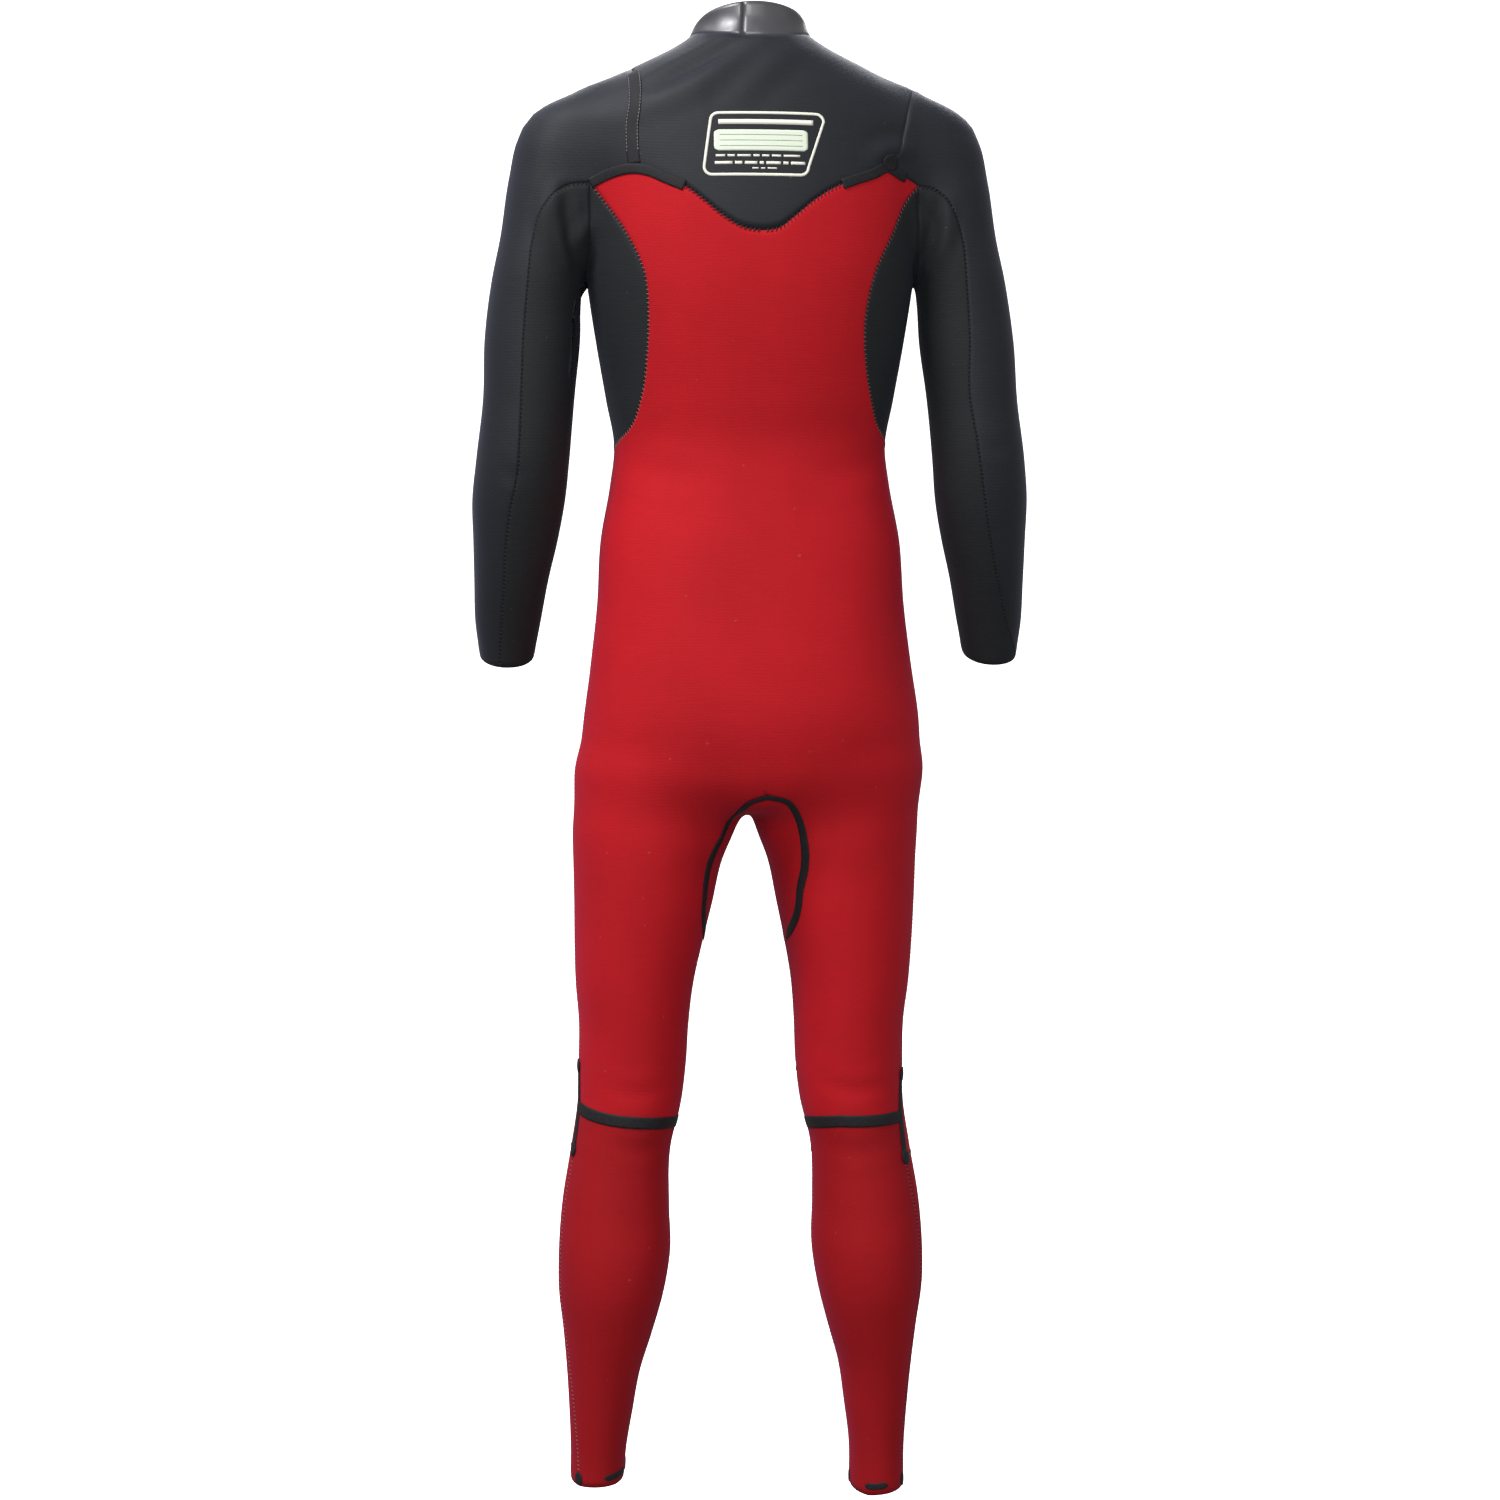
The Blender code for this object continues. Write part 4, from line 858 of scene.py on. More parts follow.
@functools.lru_cache(maxsize=1)
def crease_lines():
    """Each crease as a fine line on the skin."""
    lines = []
    for crease in CREASES:
        across, height = np.array(crease.path, float).T
        start = np.column_stack([across, limb_ahead(crease.limb, height), height])
        lines.append(dense(cast(start, (0, crease.face, 0)), each=10))
    return lines


def fold_depth(points):
    """How far the creases push each point into the suit. It is negative on a ridge."""
    depth = np.zeros(points.shape[:-1])
    for crease, line in zip(CREASES, crease_lines()):
        near = 3 * crease.reach
        low, high = line.min(0) - near, line.max(0) + near
        close = ((points > low) & (points < high)).all(-1)
        if not close.any():
            continue
        away = np.linalg.norm(points[close][:, None] - line[None], axis=-1)
        nearest, along = away.min(1), away.argmin(1) / (len(line) - 1)
        ends = np.sin(np.pi * np.clip(0.06 + 0.88 * along, 0, 1)) ** 0.7
        share = nearest / crease.reach
        shape = np.exp(-share**2) - 0.3 * np.exp(-((share - 1.9) ** 2) / 0.5)
        facing = np.clip(crease.face * normals_at(points[close])[..., 1] * 3, 0, 1)
        depth[close] += crease.depth * ends * shape * facing
    return depth


def laid(points, height=0.0):
    """Points on the suit's creased face, or this far above it."""
    points = on_skin(points, rounds=4)
    lift = np.broadcast_to(height, points.shape[:-1]) - fold_depth(points)
    return points + lift[..., None] * normals_at(points)


# --- Meshes -----------------------------------------------------------------------------


def whole(faces):
    """The faces as lists, each corner once."""
    kept = ([c for k, c in enumerate(face) if c != face[k - 1]] for face in faces.tolist())
    return [face for face in kept if len(face) > 2]


def add_mesh(name, points, faces, finishes, inner_from=None):
    """A mesh object in metres. Its faces from inner_from on take the second finish."""
    mesh = bpy.data.meshes.new(name)
    mesh.from_pydata((points / METRE).tolist(), [], faces)
    for finish in finishes:
        mesh.materials.append(finish)
    if inner_from is not None:
        slots = np.zeros(len(faces), np.int32)
        slots[inner_from:] = 1
        mesh.polygons.foreach_set("material_index", slots)
    mesh.shade_smooth()
    made = bpy.data.objects.new(name, mesh)
    bpy.context.scene.collection.objects.link(made)
    return made


def walled(name, low, high, faces, finishes):
    """A closed wall between an inner and an outer sheet that have the same faces."""
    sides = sides_of(faces)
    _, index, uses = np.unique(np.sort(sides, 1), axis=0, return_inverse=True, return_counts=True)
    a, b = sides[uses[index.reshape(-1)] == 1].T
    count = len(high)
    outer, inner = whole(faces), whole(faces[:, ::-1] + count)
    rim = np.stack([b, a, a + count, b + count], -1).tolist()
    points = np.concatenate([high, low])
    start = len(outer) + len(rim) if len(finishes) > 1 else None
    return add_mesh(name, points, outer + rim + inner, finishes, start)


def strip(name, grid, low, thick, finish, crown=0.35):
    """A band laid on the suit: a grid of places on it, fuller along its middle by crown."""
    rows, columns = grid.shape[:2]
    points = grid.reshape(-1, 3)
    across = np.linspace(-1, 1, columns)
    full = 1 - crown * np.abs(across) ** 3 if columns > 2 else np.ones(columns)
    height = np.tile(full, rows) * thick
    faces = quads_of(np.arange(rows * columns).reshape(rows, columns))
    faces = faced_out(points, faces, normals_at(points))
    return walled(name, laid(points, low), laid(points, low + height), faces, [finish])


def across_line(line):
    """The way square to a line that lies on the skin, along the skin."""
    return unit(np.cross(normals_at(line), np.gradient(line, axis=0)))


def band(line, half_width, columns=7):
    """A grid of places on each side of a line on the skin."""
    half_width = np.broadcast_to(half_width, len(line))[:, None, None]
    offsets = np.linspace(-1, 1, columns)[None, :, None]
    return on_skin(line[:, None] + offsets * half_width * across_line(line)[:, None], rounds=4)


def stretch_of(line, start, end):
    """Part of a line, from one share of its length to another, as about 2 mm steps."""
    along = run_of(line)
    count = max(int((end - start) * along[-1] / 2), 4)
    places = np.linspace(start, end, count + 1) * along[-1]
    return np.stack([np.interp(places, along, line[:, k]) for k in range(3)], -1)


def length_of(line):
    return np.linalg.norm(np.diff(line, axis=0), axis=1).sum()


def upright(centre):
    """The ways across and up along the skin at a place."""
    normal = normals_at(centre)
    up = unit(np.array([0, 0, 1.0]) - normal[2] * normal)
    return np.cross(up, normal), up


def disc(centre, half_wide, half_high, rings=4, turns=28):
    """Places on the suit in an oval, as a grid from its middle out, with its last ring closed."""
    side, up = upright(centre)
    turn = np.linspace(0, 2 * math.pi, turns + 1)
    far = np.linspace(0.02, 1, rings + 1)[:, None, None]
    ring = half_wide * np.cos(turn)[:, None] * side + half_high * np.sin(turn)[:, None] * up
    return on_skin(centre + far * ring, rounds=4), far


def patch(name, centre, half_wide, half_high, low, thick, finish):
    """A round or oval patch pressed on over a seam."""
    grid, far = disc(centre, half_wide, half_high)
    rings, columns = grid.shape[:2]
    points = grid[:, :-1].reshape(-1, 3)
    index = np.arange(rings * (columns - 1)).reshape(rings, columns - 1)
    faces = quads_of(np.column_stack([index, index[:, :1]]))
    middle = len(points)
    points = np.concatenate([points, on_skin(centre, rounds=4)[None]])
    fan = np.column_stack([np.full(columns - 1, middle), index[0], np.roll(index[0], -1)])
    faces = np.concatenate([faces, np.column_stack([fan, fan[:, -1:]])])
    height = thick * (1 - 0.5 * np.append(np.repeat(far.ravel(), columns - 1), 0) ** 4)
    faces = faced_out(points, faces, normals_at(points))
    return walled(name, laid(points, low), laid(points, low + height), faces, [finish])


# A stitch is a short round thread: how many rings along it and how many sides each has.
STITCH_RINGS, STITCH_SIDES = 5, 5


def stitch_threads(name, start, end, radius, rise, finish):
    """Threads from each start to each end on the suit, risen in the middle and sunk at the ends."""
    share = np.linspace(0, 1, STITCH_RINGS)
    line = start[:, None] * (1 - share)[:, None] + end[:, None] * share[:, None]
    normal = normals_at((start + end) / 2)
    height = rise * np.sin(np.pi * share) - 0.3 * radius
    line = laid(line, height)
    side = np.cross(normal, unit(end - start))
    turn = np.linspace(0, 2 * math.pi, STITCH_SIDES, endpoint=False)
    ring = np.cos(turn)[:, None] * side[:, None] + np.sin(turn)[:, None] * normal[:, None]
    points = line[:, :, None] + radius * ring[:, None]
    index = np.arange(points.size // 3).reshape(points.shape[:3])
    around = np.concatenate([index, index[:, :, :1]], 2)
    corners = around[:, :-1, :-1], around[:, :-1, 1:], around[:, 1:, 1:], around[:, 1:, :-1]
    sides = np.stack([corner.ravel() for corner in corners], -1).tolist()
    caps = index[:, 0].tolist() + index[:, -1, ::-1].tolist()
    return add_mesh(name, points.reshape(-1, 3), sides + caps, [finish])


def seam_stitches(name, lines, pitch, radius, sewing, finish):
    """Stitches across seams, one for each pitch of their length."""
    starts, ends = [], []
    for line in lines:
        count = max(int(length_of(line) / pitch), 2)
        middle = even(line, count)[1:-1]
        lean = sewing.slant * unit(np.gradient(middle, axis=0))
        tilt = sewing.half_length * (across_line(middle) + lean)
        starts.append(middle - tilt)
        ends.append(middle + tilt)
    radius *= sewing.thick
    return stitch_threads(
        name, np.concatenate(starts), np.concatenate(ends), radius, 0.5 * radius, finish
    )


def running_stitches(name, lines, pitch, share, radius, finish):
    """Stitches along lines, each filling a share of its pitch."""
    starts, ends = [], []
    for line in lines:
        count = max(int(length_of(line) / pitch), 2)
        fine = even(line, count * 2)
        start, end = fine[:-1:2], fine[1::2]
        middle, half = (start + end) / 2, (end - start) * share
        starts.append(middle - half)
        ends.append(middle + half)
    return stitch_threads(
        name, np.concatenate(starts), np.concatenate(ends), radius, 0.6 * radius, finish
    )


# --- Finishes ---------------------------------------------------------------------------


def linear(red, green, blue):
    """A colour given in a picture's steps from 0 to 255, as Blender counts light."""
    shares = (value / 255 for value in (red, green, blue))
    return tuple(
        share / 12.92 if share <= 0.04045 else ((share + 0.055) / 1.055) ** 2.4
        for share in shares
    )


def new_group(name, inputs, outputs):
    """A shader node group with named sockets."""
    group = bpy.data.node_groups.new(name, "ShaderNodeTree")
    for socket, kind, value in inputs:
        made = group.interface.new_socket(socket, in_out="INPUT", socket_type=kind)
        if value is not None:
            made.default_value = value
    for socket, kind in outputs:
        group.interface.new_socket(socket, in_out="OUTPUT", socket_type=kind)
    return group, group.nodes.new("NodeGroupInput"), group.nodes.new("NodeGroupOutput")


def node(tree, kind, values=None, **settings):
    made = tree.nodes.new(kind)
    for name, value in settings.items():
        setattr(made, name, value)
    set_inputs(made, **(values or {}))
    return made


def set_inputs(made, **values):
    """Sets the node's sockets by name, with _ for a space."""
    for socket, value in values.items():
        made.inputs[socket.replace("_", " ")].default_value = value


def bumped(tree, shader, height, strength, distance):
    """Gives the shader a fine bump."""
    bump = node(tree, "ShaderNodeBump", {"Strength": strength, "Distance": distance})
    tree.links.new(height, bump.inputs["Height"])
    tree.links.new(bump.outputs[0], shader.inputs["Normal"])


def summed(tree, base, value, share):
    """A base plus a share of a value."""
    return math_node(tree, "ADD", base, math_node(tree, "MULTIPLY", value, share))


def math_node(tree, operation, first, second):
    """A Math node fed by sockets or numbers."""
    made = node(tree, "ShaderNodeMath", operation=operation)
    for socket, value in zip(made.inputs, (first, second)):
        if isinstance(value, (int, float)):
            socket.default_value = value
        else:
            tree.links.new(value, socket)
    return made.outputs[0]


def stretched_noise(tree, place, scale, detail=2.0):
    """Noise in the suit's own space, with its own scale along each axis."""
    mapping = node(tree, "ShaderNodeMapping", {"Scale": scale})
    noise = node(tree, "ShaderNodeTexNoise", {"Scale": 1.0, "Detail": detail})
    tree.links.new(place, mapping.inputs["Vector"])
    tree.links.new(mapping.outputs[0], noise.inputs["Vector"])
    return noise.outputs["Fac"]


@functools.lru_cache(maxsize=1)
def knit_group():
    """Fine knitting: courses that run round the suit, broken up by uneven yarn."""
    group, start, end = new_group(
        "fine_knit",
        (("Place", "NodeSocketVector", None), ("Course", "NodeSocketFloat", 700.0)),
        (("Tone", "NodeSocketFloat"), ("Height", "NodeSocketFloat")),
    )
    place, course = start.outputs["Place"], start.outputs["Course"]
    parts = node(group, "ShaderNodeSeparateXYZ")
    group.links.new(place, parts.inputs[0])
    streak = stretched_noise(group, place, (45, 45, 620), 3.0)
    grain = stretched_noise(group, place, (620, 620, 620), 2.0)
    wander = stretched_noise(group, place, (60, 60, 60), 2.0)
    row = summed(group, math_node(group, "MULTIPLY", parts.outputs["Z"], course), wander, 1.5)
    wave = math_node(group, "SINE", math_node(group, "MULTIPLY", row, 2 * math.pi), 0.0)
    tone = summed(group, math_node(group, "MULTIPLY", streak, 0.65), grain, 0.35)
    group.links.new(tone, end.inputs["Tone"])
    group.links.new(summed(group, grain, wave, 0.35), end.inputs["Height"])
    return group


@functools.lru_cache(maxsize=1)
def mottle_group():
    """Broad, soft unevenness of colour, with a few specks of lint."""
    group, start, end = new_group(
        "mottle_and_lint",
        (("Place", "NodeSocketVector", None),),
        (("Mottle", "NodeSocketFloat"), ("Lint", "NodeSocketFloat")),
    )
    place = start.outputs["Place"]
    group.links.new(stretched_noise(group, place, (9, 9, 7), 3.0), end.inputs["Mottle"])
    speck = stretched_noise(group, place, (170, 170, 150), 1.0)
    ramp = node(group, "ShaderNodeValToRGB")
    ramp.color_ramp.elements[0].position = 0.79
    ramp.color_ramp.elements[1].position = 0.83
    group.links.new(speck, ramp.inputs[0])
    group.links.new(ramp.outputs[0], end.inputs["Lint"])
    return group


@functools.lru_cache(maxsize=1)
def weave_group():
    """A plain narrow weave, as of a seam tape."""
    group, start, end = new_group(
        "tape_weave",
        (("Place", "NodeSocketVector", None), ("Threads", "NodeSocketFloat", 900.0)),
        (("Tone", "NodeSocketFloat"), ("Height", "NodeSocketFloat")),
    )
    place = start.outputs["Place"]
    parts = node(group, "ShaderNodeSeparateXYZ")
    group.links.new(place, parts.inputs[0])
    waves = []
    for first, second in (("X", "Z"), ("Y", "Z")):
        total = math_node(group, "ADD", parts.outputs[first], parts.outputs[second])
        count = math_node(group, "MULTIPLY", total, start.outputs["Threads"])
        waves.append(math_node(group, "SINE", math_node(group, "MULTIPLY", count, math.pi), 0.0))
    weave = math_node(group, "MULTIPLY", waves[0], waves[1])
    grain = stretched_noise(group, place, (500, 500, 500), 2.0)
    group.links.new(grain, end.inputs["Tone"])
    group.links.new(summed(group, grain, weave, 0.5), end.inputs["Height"])
    return group


COOL, WARM = (0.5, 0.5, 0.8), (1.0, 0.1, 0.45)
# The knitted cloths. Dark is how dark the darker yarns are, as a share of the cloth's colour.
Cloth = namedtuple("Cloth", "name colour dark roughness sheen sheen_tint streak bump gloss")
CLOTHS = {
    "jersey": Cloth("black_jersey", "jersey", 0.72, 0.58, 0.13, COOL, 1.8, 0.25, 0.26),
    "under": Cloth("black_under_sleeve", "under_sleeve", 0.72, 0.7, 0.05, COOL, 1.8, 0.25, 0.2),
    "red": Cloth("red_lining", "lining", 0.86, 0.75, 0.1, WARM, 1.6, 0.2, 0.12),
    # The calf cloth is the red lining with a darker colour: partly a darker lining, partly painted
    # shade on the lower legs.
    "calf": Cloth("shaded_calf_lining", "shaded_calf_lining", 0.86, 0.75, 0.1, WARM, 1.6, 0.2, 0.12),
    "inside": Cloth("inner_face", "under_sleeve", 0.72, 0.8, 0.03, COOL, 1.8, 0.25, 0.15),
}
# Threads, prints and plastic: the material's name, its colour, roughness and grain.
PLAINS = {
    "dark_thread": ("dark_thread", (26, 26, 30), 0.65, 0.12),
    "grey_thread": ("grey_thread", (118, 116, 114), 0.65, 0.12),
    "red_thread": ("red_thread", (130, 92, 88), 0.65, 0.12),
    "print": ("pale_print", (226, 226, 212), 0.6, 0.05),
    "write_on": ("write_on_print", (212, 222, 203), 0.6, 0.05),
    "faint": ("faint_rule", (150, 150, 140), 0.6, 0.05),
    "plastic": ("zip_plastic", (30, 30, 32), 0.42, 0.12),
}


def bare_material(name):
    made = bpy.data.materials.new(name)
    made.use_nodes = True
    shader = made.node_tree.nodes["Principled BSDF"]
    place = node(made.node_tree, "ShaderNodeTexCoord").outputs["Object"]
    return made, made.node_tree, shader, place


def placed_group(tree, group, place):
    made = node(tree, "ShaderNodeGroup", node_tree=group)
    tree.links.new(place, made.inputs["Place"])
    return made


def mixed(tree, share, first, second, blend="MIX"):
    """A colour mix. The share and each colour is a socket or a value."""
    mix = node(tree, "ShaderNodeMix", data_type="RGBA", blend_type=blend)
    for socket, value in ((mix.inputs[0], share), (mix.inputs[6], first), (mix.inputs[7], second)):
        if isinstance(value, bpy.types.NodeSocket):
            tree.links.new(value, socket)
        elif isinstance(value, tuple):
            socket.default_value = (*value, 1)
        else:
            socket.default_value = value
    return mix.outputs[2]


def spread_out(tree, value, low, high):
    """A value from low to high, as a share from 0 to 1."""
    ranged = node(tree, "ShaderNodeMapRange", {"From Min": low, "From Max": high})
    tree.links.new(value, ranged.inputs["Value"])
    return ranged.outputs[0]


def cloth_material(cloth, light):
    """Knitted cloth: two tones in streaks and mottling, a nap at grazing angles and a fine bump."""
    made, tree, shader, place = bare_material(cloth.name)
    knit = placed_group(tree, knit_group(), place)
    mottle = placed_group(tree, mottle_group(), place)
    reach = 0.5 / cloth.streak
    streak = spread_out(tree, knit.outputs["Tone"], 0.5 - reach, 0.5 + reach)
    colour = mixed(tree, streak, tuple(part * cloth.dark for part in light), light)
    broad = spread_out(tree, mottle.outputs["Mottle"], 0.3, 0.7)
    shade = mixed(tree, broad, (0.88, 0.88, 0.88), (1.05, 1.05, 1.05))
    colour = mixed(tree, 1.0, colour, shade, "MULTIPLY")
    lint = math_node(tree, "MULTIPLY", mottle.outputs["Lint"], 0.25)
    colour = mixed(tree, lint, colour, (0.16, 0.15, 0.15))
    tree.links.new(colour, shader.inputs["Base Color"])
    rough = summed(tree, cloth.roughness - 0.05, knit.outputs["Tone"], 0.1)
    tree.links.new(rough, shader.inputs["Roughness"])
    bumped(tree, shader, knit.outputs["Height"], cloth.bump, 0.0004)
    set_inputs(shader, Sheen_Weight=cloth.sheen, Sheen_Roughness=0.45)
    set_inputs(shader, Sheen_Tint=(*cloth.sheen_tint, 1), Specular_IOR_Level=cloth.gloss)
    return made


def rubber_material(name, colour):
    """Smooth rubber skin: a soft gloss with a faint orange-peel and fine scuffs."""
    made, tree, shader, place = bare_material(name)
    mottle = placed_group(tree, mottle_group(), place)
    scuff = stretched_noise(tree, place, (260, 260, 30), 4.0)
    pimple = stretched_noise(tree, place, (320, 320, 320), 2.0)
    shade = mixed(tree, spread_out(tree, mottle.outputs["Mottle"], 0.3, 0.7), colour,
                  tuple(1.35 * part for part in colour))
    tree.links.new(shade, shader.inputs["Base Color"])
    tree.links.new(summed(tree, 0.32, scuff, 0.16), shader.inputs["Roughness"])
    bumped(tree, shader, pimple, 0.12, 0.0004)
    set_inputs(shader, Specular_IOR_Level=1.0, Coat_Weight=0.35, Coat_Roughness=0.45)
    return made


def tape_material(name, light, dark):
    """Woven seam tape."""
    made, tree, shader, place = bare_material(name)
    weave = placed_group(tree, weave_group(), place)
    tone = spread_out(tree, weave.outputs["Tone"], 0.3, 0.7)
    tree.links.new(mixed(tree, tone, dark, light), shader.inputs["Base Color"])
    tree.links.new(summed(tree, 0.6, tone, 0.15), shader.inputs["Roughness"])
    bumped(tree, shader, weave.outputs["Height"], 0.35, 0.0003)
    set_inputs(shader, Specular_IOR_Level=0.3)
    return made


def plain_material(name, colour, roughness, grain):
    """Thread, print or moulded plastic: one colour, worn a little unevenly."""
    made, tree, shader, place = bare_material(name)
    noise = stretched_noise(tree, place, (480, 480, 480), 3.0)
    parts = np.array(linear(*colour))
    low, high = (tuple((parts * share).tolist()) for share in (1 - grain, 1 + grain))
    tree.links.new(mixed(tree, noise, low, high), shader.inputs["Base Color"])
    tree.links.new(summed(tree, roughness - 0.05, noise, 0.1), shader.inputs["Roughness"])
    bumped(tree, shader, noise, 0.1, 0.0002)
    return made


@functools.lru_cache(maxsize=1)
def finishes():
    """Every material, from the colours that the panel in the sidebar holds."""
    colours = bpy.context.scene.wetsuit_colours
    made = {
        key: cloth_material(cloth, tuple(getattr(colours, cloth.colour)))
        for key, cloth in CLOTHS.items()
    }
    made.update({key: plain_material(*plain) for key, plain in PLAINS.items()})
    made["collar"] = rubber_material("smooth_rubber_skin", tuple(colours.collar))
    made["tape"] = tape_material("seam_tape", linear(32, 32, 36), linear(17, 17, 20))
    return made


# --- What a user may change -------------------------------------------------------------


def size_property(name, description, default, low, high):
    return bpy.props.FloatProperty(
        name=name, description=description,
        default=default, min=low, max=high, subtype="DISTANCE", unit="LENGTH",
    )


def colour_property(name, description, *colour):
    return bpy.props.FloatVectorProperty(
        name=name, description=description,
        default=linear(*colour), subtype="COLOR", min=0.0, max=1.0,
    )


class WetsuitSizes(bpy.types.PropertyGroup):
    """Sizes of what is laid and sewn on the panels."""

    crease_share: bpy.props.FloatProperty(
        name="Creases", description="How deep the creases are, as a share of their own depth",
        default=1.0, min=0.0, max=2.0, subtype="FACTOR",
    )
    seam_groove: size_property(
        "Seam groove", "How far the panels dip where they are glued", 0.0006, 0.0, 0.002
    )
    tape_thickness: size_property(
        "Tape thickness", "How far the middle of a seam tape stands proud", 0.0009, 0.0003, 0.003
    )
    stitch_pitch: size_property(
        "Stitch pitch", "The distance from one seam stitch to the next", 0.0042, 0.002, 0.01
    )
    thread_radius: size_property(
        "Thread radius", "Half the thickness of the sewing thread", 0.0004, 0.0001, 0.001
    )


class WetsuitColours(bpy.types.PropertyGroup):
    """Colours of the cloths and the collar."""

    jersey: colour_property("Jersey", "The black jersey of the yokes and the sleeves", 32, 34, 39)
    under_sleeve: colour_property(
        "Under-sleeve", "The darker jersey under the sleeves and at the sides", 34, 37, 39
    )
    lining: colour_property("Lining", "The knitted lining of the body", 182, 24, 32)
    # Darker than the lining above the knees: partly a darker lining, partly painted shade.
    shaded_calf_lining: colour_property("Shaded calf lining", "The lining below the knees", 158, 20, 26)
    collar: colour_property("Collar", "The smooth rubber skin of the collar", 46, 46, 50)


# --- Panels -----------------------------------------------------------------------------


def dressed(piece, slot, *nodes):
    """Hangs the piece on the root and hides the solids that it stands for. The slot is not used."""
    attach(piece, "root")
    if nodes:
        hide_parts(*nodes)
    return piece


@functools.lru_cache(maxsize=1)
def the_suit():
    return Suit()


Cut = namedtuple("Cut", "look wall slot width length area")
# Each panel's finish and wall, and its flat cut: width and length in metres, area in square ones.
CUTS = {
    "collar": Cut("collar", "collar", "collar", 0.375, 0.045, 0.0090),
    "yoke_back": Cut("jersey", "sleeve", "jersey", 0.302, 0.210, 0.0495),
    "yoke_front": Cut("jersey", "sleeve", "jersey", 0.303, 0.194, 0.0430),
    "sleeve_outer": Cut("jersey", "sleeve", "jersey", 0.245, 0.600, 0.0855),
    "sleeve_under": Cut("under", "sleeve", "under", 0.175, 0.485, 0.0620),
    "side": Cut("under", "sleeve", "under", 0.200, 0.280, 0.0338),
    "body_back": Cut("red", "body", "red", 0.449, 0.917, 0.3140),
    "body_front": Cut("red", "body", "red", 0.469, 0.871, 0.3150),
    "gusset": Cut("red", "body", "red", 0.140, 0.410, 0.0373),
    "knee": Cut("red", "body", "red", 0.204, 0.117, 0.0162),
    "calf": Cut("calf", "body", "calf", 0.172, 0.380, 0.0475),
    "shin": Cut("calf", "body", "calf", 0.214, 0.370, 0.0571),
}


def cut_of(name):
    return next(cut for kind, cut in CUTS.items() if name.startswith(kind))


def dress_panel(name, panel, sizes):
    """One panel as a wall of cloth, drawn in at its seams and creased."""
    cut, finish = cut_of(name), finishes()
    edge = panel.rim.astype(float)
    dip = edge * sizes.seam_groove * METRE + sizes.crease_share * fold_depth(panel.points)
    high = panel.points - dip[:, None] * panel.normals
    low = high - WALL[cut.wall] * panel.normals
    inner = finish["collar"] if cut.look == "collar" else finish["inside"]
    piece = walled("cloth_" + name, low, high, panel.faces, [finish[cut.look], inner])
    return dressed(piece, cut.slot, name)


class WETSUIT_OT_panels(bpy.types.Operator):
    """Makes every cut panel of the suit"""

    bl_idname = "wetsuit.panels"
    bl_label = "Panels"

    def execute(self, context):
        for name, panel in the_suit().panels.items():
            piece = dress_panel(name, panel, context.scene.wetsuit_sizes)
        return {"FINISHED"}


# --- Tapes and patches ------------------------------------------------------------------

Tape = namedtuple("Tape", "half_width low")
ARCH_TAPE, SHOULDER_TAPE, CROTCH_TAPE = Tape(5.0, 0.35), Tape(6.6, 0.1), Tape(4.6, 0.1)
# Where the shoulder's tape and the arches' tapes start, as a share of their seams.
SHOULDER_TAPE_START, ARCH_TAPE_START = 0.3, {LEFT: 0.0, RIGHT: 0.19}
KNEE_TAPE, KNEE_SIDE_TAPE = Tape(6.0, 0.1), Tape(5.0, 0.4)
# The dash above each ankle: where it starts and ends, as a share of the way round the calf.
ANKLE_TAPE, ANKLE_DASH = Tape(3.2, 0.1), {LEFT: (0.38, 0.78), RIGHT: (0.3, 0.58)}
# The patches over the tapes' ends: half as wide, half as high, and how far above the panels.
Patch = namedtuple("Patch", "half_wide half_high low")
SHOULDER_PATCH = Patch(9.5, 8, 1.0)
KNEE_TOP_PATCH, KNEE_END_PATCH = Patch(7, 7, 1.2), Patch(7.5, 7.5, 1.2)
ANKLE_PATCHES = {"outer": Patch(6.0, 7.0, 0.1), "inner": Patch(4.0, 7.0, 0.1)}


def add_tape(name, line, tape, sizes, half_width=None):
    """A tape along a line of the skin."""
    grid = band(line, tape.half_width if half_width is None else half_width)
    thick = sizes.tape_thickness * METRE
    dressed(strip("cloth_" + name, grid, tape.low, thick, finishes()["tape"]), "tape", name)


def add_patch(name, centre, size, sizes):
    """A patch over the end of a tape."""
    thick = sizes.tape_thickness * METRE
    dressed(patch("cloth_" + name, centre, *size, thick, finishes()["tape"]), "tape", name)


